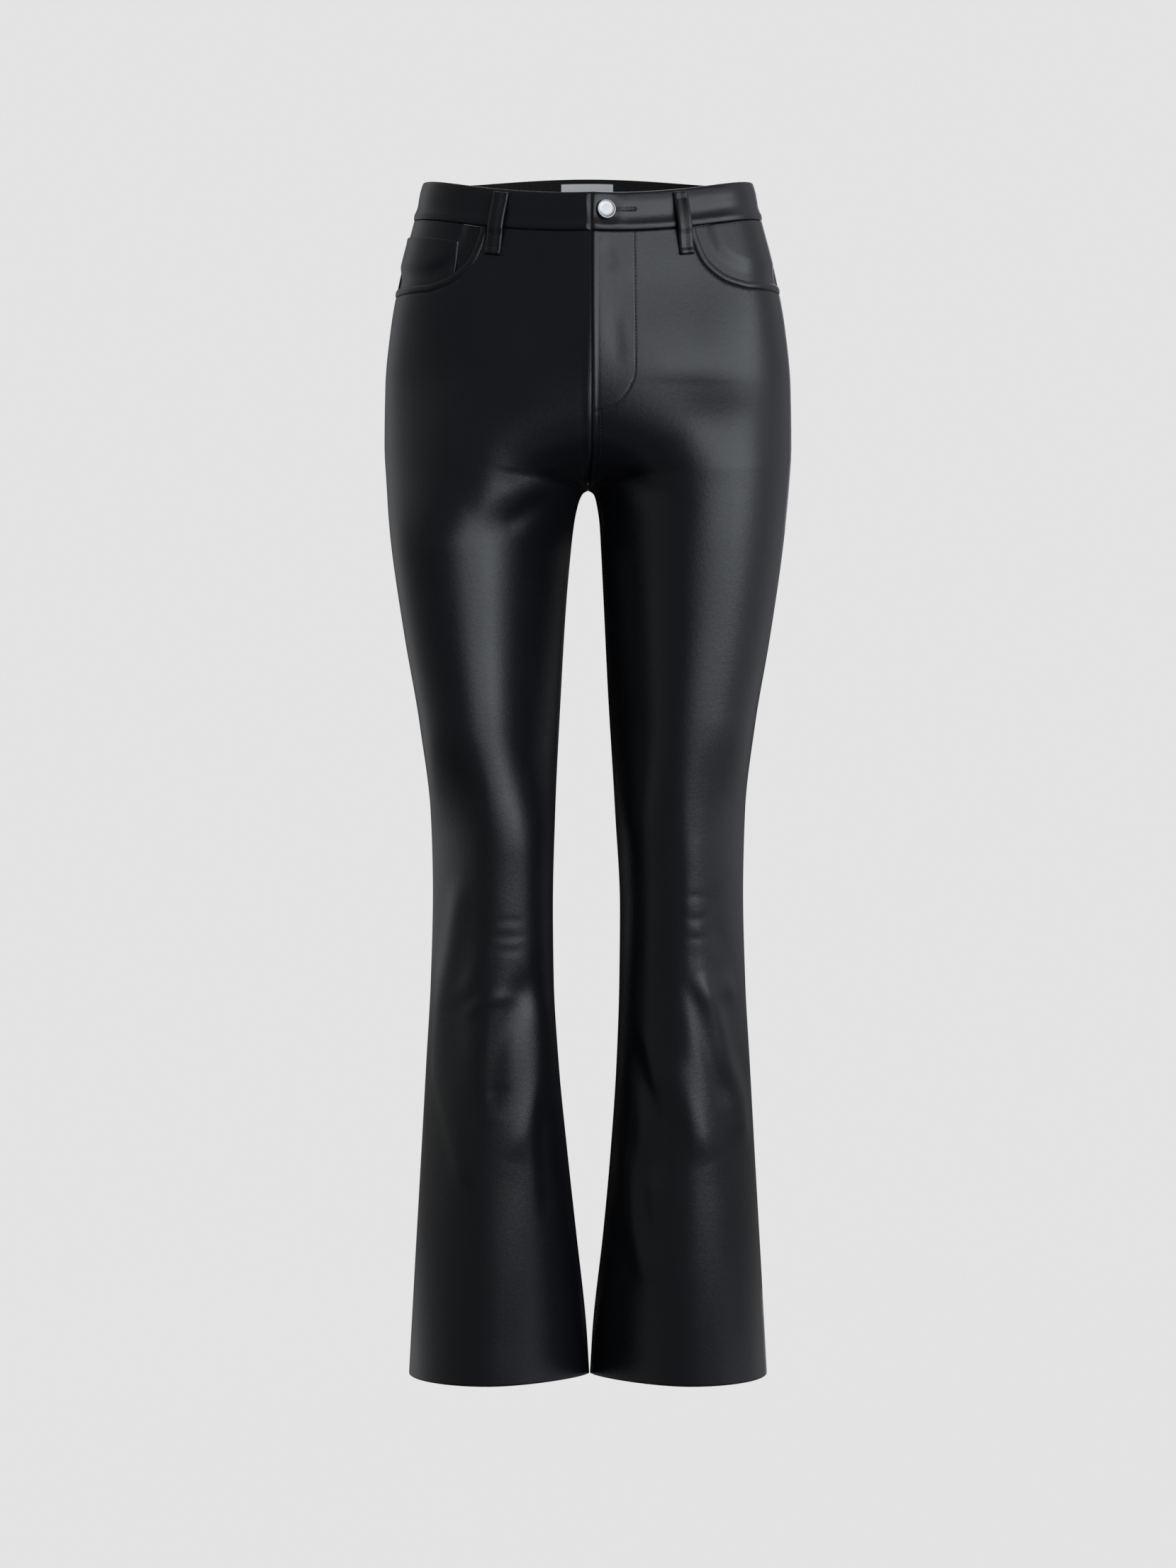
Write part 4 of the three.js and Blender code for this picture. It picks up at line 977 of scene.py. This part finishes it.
def belt_loop(name, face, top_station, bottom_station):
    across = spread(-LOOP["width"] / 2, LOOP["width"] / 2, 1.1, (0.3, 0.7, 1.2))
    t = np.linspace(0, 1, 58)
    t = np.concatenate([[0, 0.006, 0.014, 0.026], t[2:-2], [0.974, 0.986, 0.994, 1]])
    level = mix(LOOP["top"], LOOP["bottom"], t)[:, None] + 0 * across
    station = mix(top_station, bottom_station, t)[:, None] + across
    on_band = 1 - smooth((BAND["bottom"] - level) / LOOP["step"])
    arched = np.sin(np.pi * np.clip((t - LOOP["end"]) / (1 - 2 * LOOP["end"]), 0, 1)) ** 0.8
    base = BAND["proud"] * on_band + GAP + LOOP["arch"] * arched[:, None] + 0.9 * on_band
    size = LOOP["top"] - LOOP["bottom"]
    relief = edge_roll(LOOP["width"] / 2 - np.abs(across), 1.6, 1.2)[None, :]
    relief = relief + edge_roll(np.minimum(t, 1 - t) * size, 1.6, 1.2)[:, None]
    relief = relief + 0.5 * np.exp(-(((LOOP["width"] / 2 - np.abs(across) - 2.6) / 1.3) ** 2))[None, :]
    relief = relief - 0.5 * np.exp(-((across / 0.9) ** 2))[None, :]
    relief = relief + 0.7 * np.exp(-(((size * (1 - t) - 3.2) / 2.2) ** 2))[:, None]
    outer = at_station(face, station, level, base + LOOP["wall"] + relief)
    inner = at_station(face, station, level, base)
    obj = grid_wall(f"loop_{name}", outer, inner, LEATHER)
    declare(obj, f"belt_loop_{name}", flat=(LOOP["width"] + 1.5, size + 6, area_of(obj)))
    run, top = mix(top_station, bottom_station, t), (base + LOOP["wall"])[:, 0]
    middle = at_station(face, run, level[:, 0], top - 0.35)
    above = at_station(face, run, level[:, 0], top + 0.65)
    threads.append((middle[3:-3], (above - middle)[3:-3]))


back_loop = BACK_LOOP_SHARE * float(surfaces["left", "back"].length(LOOP["top"]))
belt_loop("front_right", "front", -75.6, -83.6)
belt_loop("front_left", "front", 79.0, 85.6)
belt_loop("back_right", "back", -back_loop, -back_loop - LOOP["lean"])
belt_loop("back_left", "back", back_loop, back_loop + LOOP["lean"])
belt_loop("back_middle", "back", 0.0, 0.0)

# Blank label inside the back of the waistband
columns = spread(LABEL["right"], LABEL["left"], 1.5, (0.2, 0.5, 0.9))
rows = spread(LABEL["top"], LABEL["bottom"], 1.5, (0.2, 0.5, 0.9))
station, level = np.meshgrid(columns, rows)
inside = BAND["proud"] - BAND["wall"] - GAP
obj = grid_wall("label_cloth", at_station("back", station, level, inside),
                at_station("back", station, level, inside - LABEL["wall"]), [label_cloth, label_cloth])
declare(obj, "label", flat=(columns[-1] - columns[0] + 1, rows[0] - rows[-1] + 1, area_of(obj)))


# Button, turned about its stem and stood on the waistband
def turned_solid(name, profile, sides, material, face, station, level):
    angle = np.linspace(0, 2 * math.pi, sides, endpoint=False)
    foot = at_station(face, station, level)
    out = at_station(face, station, level, 1.0) - foot
    across = np.cross([0, 0, 1.0], out)
    across /= np.linalg.norm(across)
    upward = np.cross(out, across)
    points = []
    for radius, high in profile[1:-1]:
        turned = np.cos(angle)[:, None] * across + np.sin(angle)[:, None] * upward
        points.append(foot + out * high + radius * turned)
    count = len(points)
    points = np.vstack(points + [[foot + out * profile[0][1]], [foot + out * profile[-1][1]]])
    faces = []
    for r in range(count - 1):
        for i in range(sides):
            j = (i + 1) % sides
            faces.append([r * sides + i, r * sides + j, (r + 1) * sides + j, (r + 1) * sides + i])
    low, high = count * sides, count * sides + 1
    for i in range(sides):
        j = (i + 1) % sides
        faces.append([low, j, i])
        faces.append([high, (count - 1) * sides + i, (count - 1) * sides + j])
    return new_object(name, points, faces, [material], angle=30.0)


foot = BAND["proud"] - BAND["wall"]
back = BAND["proud"] + GAP
high = back + BUTTON["depth"]
radius = BUTTON["radius"]
profile = [(0, foot), (BUTTON["stem"], foot), (BUTTON["stem"], back + 0.1), (radius - 1.6, back + 0.1),
           (radius - 0.5, back + 0.3), (radius - 0.1, back + 0.8), (radius, back + 1.4),
           (radius - 0.1, high - 0.5),
           (radius - 0.4, high - 0.12), (radius - 0.8, high), (radius - 1.2, high - 0.08),
           (radius - 1.5, high - 0.3), (radius - 1.8, high - 0.42), (radius - 4.0, high - 0.4),
           (radius - 6.5, high - 0.38), (0, high - 0.37)]
declare(turned_solid("button_cap", profile, 72, metal, "front", BUTTON["station"], BUTTON["level"]),
        "button")


# Thread: stitches lie along lines of points, each with its outward direction
def stitch_mesh(name, runs, pitch=3.1, size=2.4, radius=0.38):
    shape = []
    for at, wide in ((-0.5, 0.25), (-0.38, 0.85), (0, 1.0), (0.38, 0.85), (0.5, 0.25)):
        for k in range(6):
            shape.append((at * size, radius * wide * math.cos(k * math.pi / 3),
                          radius * wide * math.sin(k * math.pi / 3)))
    shape = np.array(shape)
    base = [[6 * r + k, 6 * r + (k + 1) % 6, 6 * r + 6 + (k + 1) % 6, 6 * r + 6 + k]
            for r in range(4) for k in range(6)]
    base += [[5, 4, 3, 2, 1, 0], [24, 25, 26, 27, 28, 29]]
    points, faces = [], []
    for line, out in runs:
        run = np.concatenate([[0], np.cumsum(np.linalg.norm(np.diff(line, axis=0), axis=1))])
        middles = np.arange(pitch / 2, run[-1], pitch)
        centre = np.stack([np.interp(middles, run, line[:, k]) for k in range(3)], 1)
        ahead = np.stack([np.interp(middles + 0.3, run, line[:, k]) for k in range(3)], 1)
        behind = np.stack([np.interp(middles - 0.3, run, line[:, k]) for k in range(3)], 1)
        normal = np.stack([np.interp(middles, run, out[:, k]) for k in range(3)], 1)
        t = ahead - behind
        t /= np.maximum(np.linalg.norm(t, axis=1, keepdims=True), 1e-9)
        b = np.cross(normal, t)
        b /= np.maximum(np.linalg.norm(b, axis=1, keepdims=True), 1e-9)
        n = np.cross(t, b)
        for i in range(len(middles)):
            start = len(points) * len(shape)
            points.append(centre[i] + shape[:, :1] * t[i] + shape[:, 1:2] * b[i] + shape[:, 2:] * n[i])
            faces += [[v + start for v in f] for f in base]
    obj = new_object(name, np.vstack(points), faces, [thread], angle=80.0)
    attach(obj, "root")
    return obj


def on_panel(side, face, line, lift):
    """A line of (station, level) as points on a panel with their outward directions."""
    surface = surfaces[side, face]
    c = line[:, 0] / surface.length(line[:, 1])
    keep = (c < 0.985) & (line[:, 1] < TOP - 0.5)
    c, level = c[keep], line[keep, 1]
    normal = surface.normal(c, level)
    return surface.point(c, level) + normal * lift, normal


runs = list(threads)
runs.append(on_panel("left", "front", J_STITCH, 0.1))
runs.append(on_panel("left", "front", CROTCH_STITCH, 0.1))
for side, face, station, start, end in (("right", "front", 3.2, -290.0, -1036.0),
                                        ("left", "front", 2.8, -290.0, -1036.0),
                                        ("left", "front", 6.4, -290.0, -1036.0),
                                        ("left", "back", 2.6, -112.0, -240.0),
                                        ("left", "back", 7.6, -112.0, -240.0)):
    down = np.arange(start, end, -4.0)
    runs.append(on_panel(side, face, np.stack([np.full(len(down), station), down], 1), 0.1))
for side in SIGN:
    runs.append(on_panel(side, "front", beside(SCOOP_LINE[side], -SCOOP["band"]), -0.2))
for side in SIGN:
    surface = surfaces[side, "back"]
    c = np.linspace(0.01, 0.985, 90)
    for below in (2.0, 7.0):
        level = yoke_line(-below)(c)
        normal = surface.normal(c, level)
        runs.append((surface.point(c, level) + normal * 0.1, normal))
stitch_mesh("stitches", runs)

# Buttonhole: short stitches across both lips of the slit, and round its end
lips = []
lip_height = BAND["proud"] + 0.3
for i, station in enumerate(np.arange(BUTTONHOLE["start"], BUTTONHOLE["to"], 0.85)):
    for way in (1, -1):
        reach = 2.1 + 0.5 * math.sin(7.3 * i + way)
        tilt = 0.5 * math.sin(3.1 * i + 2 * way)
        levels = [BUTTON["level"] + way * 0.25, BUTTON["level"] + way * reach]
        line = at_station("front", [station, station + tilt], levels, lip_height)
        foot = at_station("front", [station] * 2, [BUTTON["level"]] * 2, lip_height)
        out = at_station("front", [station] * 2, [BUTTON["level"]] * 2, lip_height + 1.0)
        lips.append((line, out - foot))
for k in range(7):
    a = math.radians(-80 + 160 * k / 6)
    stations = [BUTTONHOLE["to"] + reach * math.cos(a) for reach in (0.4, 2.4)]
    levels = [BUTTON["level"] + reach * math.sin(a) for reach in (0.4, 2.4)]
    line = at_station("front", stations, levels, lip_height)
    foot = at_station("front", [BUTTONHOLE["to"]] * 2, [BUTTON["level"]] * 2, 0.0)
    out = at_station("front", [BUTTONHOLE["to"]] * 2, [BUTTON["level"]] * 2, 1.0)
    lips.append((line, out - foot))
stitch_mesh("buttonhole_thread", lips, pitch=2.0, size=2.0, radius=0.34)


# Camera, lights and floor
def make_camera():
    data = bpy.data.cameras.new("camera")
    obj = bpy.data.objects.new("camera", data)
    bpy.context.scene.collection.objects.link(obj)
    data.sensor_width = CAMERA["sensor"]
    data.sensor_fit = "AUTO"
    seen = PHOTO["height"] * PHOTO["mm_per_px"]
    data.lens = CAMERA["sensor"] * CAMERA["distance"] / seen
    obj.location = (0, -CAMERA["distance"] / 1000, CAMERA["height"] / 1000)
    obj.rotation_euler = (math.radians(90), 0, 0)
    bpy.context.scene.camera = obj


def area_light(name, place, aim, size, power, colour=(1, 1, 1)):
    data = bpy.data.lights.new(name, "AREA")
    data.shape = "RECTANGLE"
    data.size, data.size_y = size
    data.energy = power
    data.color = colour
    obj = bpy.data.objects.new(name, data)
    bpy.context.scene.collection.objects.link(obj)
    obj.location = place
    obj.rotation_euler = (Vector(aim) - Vector(place)).to_track_quat("-Z", "Y").to_euler()
    obj.visible_camera = False
    return obj


def around(azimuth, distance, height):
    """A place at an azimuth round the object, 0 at the front and plus to the picture's right."""
    a = math.radians(azimuth)
    return (math.sin(a) * distance, -math.cos(a) * distance, height)


BACKGROUND = 0.77
# The studio round the part: azimuth from its front, plus to the picture's right, and light,
# first estimated from the photograph's brightness and then set one by one
STUDIO = [
    (-180, 0.05),
    (-162, 0.18),
    (-146, 0.46),
    (-130, 0.66),
    (-118, 0.62),
    (-98, 0.52),
    (-80, 0.39),
    (-62, 0.3),
    (-46, 0.2),
    (0, 0.15),
    (30, 0.16),
    (60, 0.3),
    (72, 0.9),
    (86, 0.8),
    (104, 0.58),
    (128, 0.5),
    (144, 0.34),
    (160, 0.13),
    (180, 0.05),
]
STUDIO_STRENGTH = 4.0
COOL = (0.95, 1.0, 1.05)
world = bpy.data.worlds.new("studio")
world.use_nodes = True
bpy.context.scene.world = world


def studio_light(tree):
    """A pale background to the camera, and dark front, bright side and back walls to the leather."""
    nodes, links = tree.nodes, tree.links
    plain = nodes["Background"]
    plain.inputs["Color"].default_value = (BACKGROUND,) * 3 + (1,)
    coords = nodes.new("ShaderNodeTexCoord")
    parts = nodes.new("ShaderNodeSeparateXYZ")
    links.new(coords.outputs["Generated"], parts.inputs["Vector"])
    front = nodes.new("ShaderNodeMath")
    front.operation = "MULTIPLY"
    front.inputs[1].default_value = -1.0
    links.new(parts.outputs["Y"], front.inputs[0])
    azimuth = nodes.new("ShaderNodeMath")
    azimuth.operation = "ARCTAN2"
    links.new(parts.outputs["X"], azimuth.inputs[0])
    links.new(front.outputs["Value"], azimuth.inputs[1])
    share = nodes.new("ShaderNodeMapRange")
    share.inputs["From Min"].default_value = -math.pi
    share.inputs["From Max"].default_value = math.pi
    links.new(azimuth.outputs["Value"], share.inputs["Value"])
    ramp = nodes.new("ShaderNodeValToRGB")
    elements = ramp.color_ramp.elements
    for i, (angle, light) in enumerate(STUDIO):
        place = (angle + 180) / 360
        element = elements[i] if i < 1 else elements.new(place)
        element.position = place
        element.color = tuple(light / STUDIO_STRENGTH * share for share in COOL) + (1,)
    links.new(share.outputs["Result"], ramp.inputs["Fac"])
    low = nodes.new("ShaderNodeMapRange")
    low.interpolation_type = "SMOOTHSTEP"
    low.inputs["From Min"].default_value = -0.4
    low.inputs["From Max"].default_value = -0.16
    low.inputs["To Min"].default_value = STUDIO_STRENGTH * 0.1
    low.inputs["To Max"].default_value = STUDIO_STRENGTH
    links.new(parts.outputs["Z"], low.inputs["Value"])
    wall = nodes.new("ShaderNodeBackground")
    links.new(low.outputs["Result"], wall.inputs["Strength"])
    links.new(ramp.outputs["Color"], wall.inputs["Color"])
    path = nodes.new("ShaderNodeLightPath")
    choice = nodes.new("ShaderNodeMixShader")
    links.new(path.outputs["Is Camera Ray"], choice.inputs["Fac"])
    links.new(wall.outputs["Background"], choice.inputs[1])
    links.new(plain.outputs["Background"], choice.inputs[2])
    links.new(choice.outputs["Shader"], nodes["World Output"].inputs["Surface"])


studio_light(world.node_tree)

# The key softbox at the picture's right, in strips that are brighter away from the camera, and a
# higher strip for the hip
KEY = [
    # from, to, radiance, bottom
    (8, 20, 0.4, -0.77),
    (20, 32, 1.5, -0.77),
    (32, 46, 2.6, -0.7),
    (46, 70, 3.6, -0.6),
    (15, 36, 1.7, -0.24),
]
KEY_DISTANCE = 2.2
KEY_TOP = 0.75


def key_strips():
    for i, (start, end, radiance, bottom) in enumerate(KEY):
        tall = KEY_TOP - bottom
        middle = (KEY_TOP + bottom) / 2
        wide = 2 * KEY_DISTANCE * math.tan(math.radians((end - start) / 2))
        place_of = around((start + end) / 2, KEY_DISTANCE, middle)
        area_light(f"key_{i + 1}", place_of, (0, 0, middle), (wide, tall), radiance * math.pi * wide * tall,
                   COOL)


key_strips()

# Painted shade that only reflections see: a grey ring round the hems darkens their reflections low down,
# and a black sheet behind the gap of the legs darkens the reflections in the legs' inner edges, where the
# other leg shades them
HEM_SHADE_RING = dict(radius=0.95, bottom=-1.04, top=-0.73, sides=64)
GAP_SHADE_SHEET = dict(half_width=0.24, y=0.25, bottom=-1.0, top=-0.29)


def glow_look(level, spread):
    """A plain surface that glows evenly, with a faint unevenness."""
    def build(tree, shader):
        nodes, links = tree.nodes, tree.links
        cloud = nodes.new("ShaderNodeTexNoise")
        cloud.inputs["Scale"].default_value = 2.0
        tone = nodes.new("ShaderNodeMixRGB")
        tone.inputs["Color1"].default_value = (level - spread,) * 3 + (1,)
        tone.inputs["Color2"].default_value = (level + spread,) * 3 + (1,)
        links.new(cloud.outputs["Fac"], tone.inputs["Fac"])
        glow = nodes.new("ShaderNodeEmission")
        links.new(tone.outputs["Color"], glow.inputs["Color"])
        links.new(glow.outputs["Emission"], nodes["Material Output"].inputs["Surface"])
        nodes.remove(shader)
    return build


def only_for(obj, *rays):
    """Show a stage object to these rays and no others."""
    for kind in ("camera", "glossy", "diffuse", "transmission", "shadow"):
        setattr(obj, f"visible_{kind}", kind in rays)


def shade_flags():
    # Both glow: grey for painted shade in the hems' reflections, near black for painted shade in the legs'
    # inner edges
    grey = node_material("hem_shade_grey", glow_look(0.2, 0.02))
    black = node_material("gap_shade_black", glow_look(0.02, 0.01))
    turn = np.linspace(0, 2 * math.pi, HEM_SHADE_RING["sides"], endpoint=False)
    circle = HEM_SHADE_RING["radius"] * np.stack([np.cos(turn), np.sin(turn)], 1)
    ring = [(x, y, z) for z in (HEM_SHADE_RING["bottom"], HEM_SHADE_RING["top"]) for x, y in circle]
    count = HEM_SHADE_RING["sides"]
    around_it = [(i, (i + 1) % count, count + (i + 1) % count, count + i) for i in range(count)]
    wide, deep = GAP_SHADE_SHEET["half_width"], GAP_SHADE_SHEET["y"]
    low, high = GAP_SHADE_SHEET["bottom"], GAP_SHADE_SHEET["top"]
    sheet = [(-wide, deep, low), (wide, deep, low), (wide, deep, high), (-wide, deep, high)]
    for name, points, faces, look in (("painted_shade_ring", ring, around_it, grey),
                                      ("painted_shade_sheet", sheet, [(0, 1, 2, 3)], black)):
        obj = new_object(name, np.array(points), faces, [look], scale=1.0)
        only_for(obj, "glossy")


shade_flags()
bpy.context.scene.view_settings.view_transform = "Standard"

bpy.ops.mesh.primitive_circle_add(vertices=96, radius=0.9, fill_type="NGON", location=(0, 0, -1.045))
floor = bpy.context.active_object
floor.name = "floor"
floor.data.materials.append(node_material("floor_pale", glow_look(BACKGROUND, 0.002)))
only_for(floor, "camera")

make_camera()
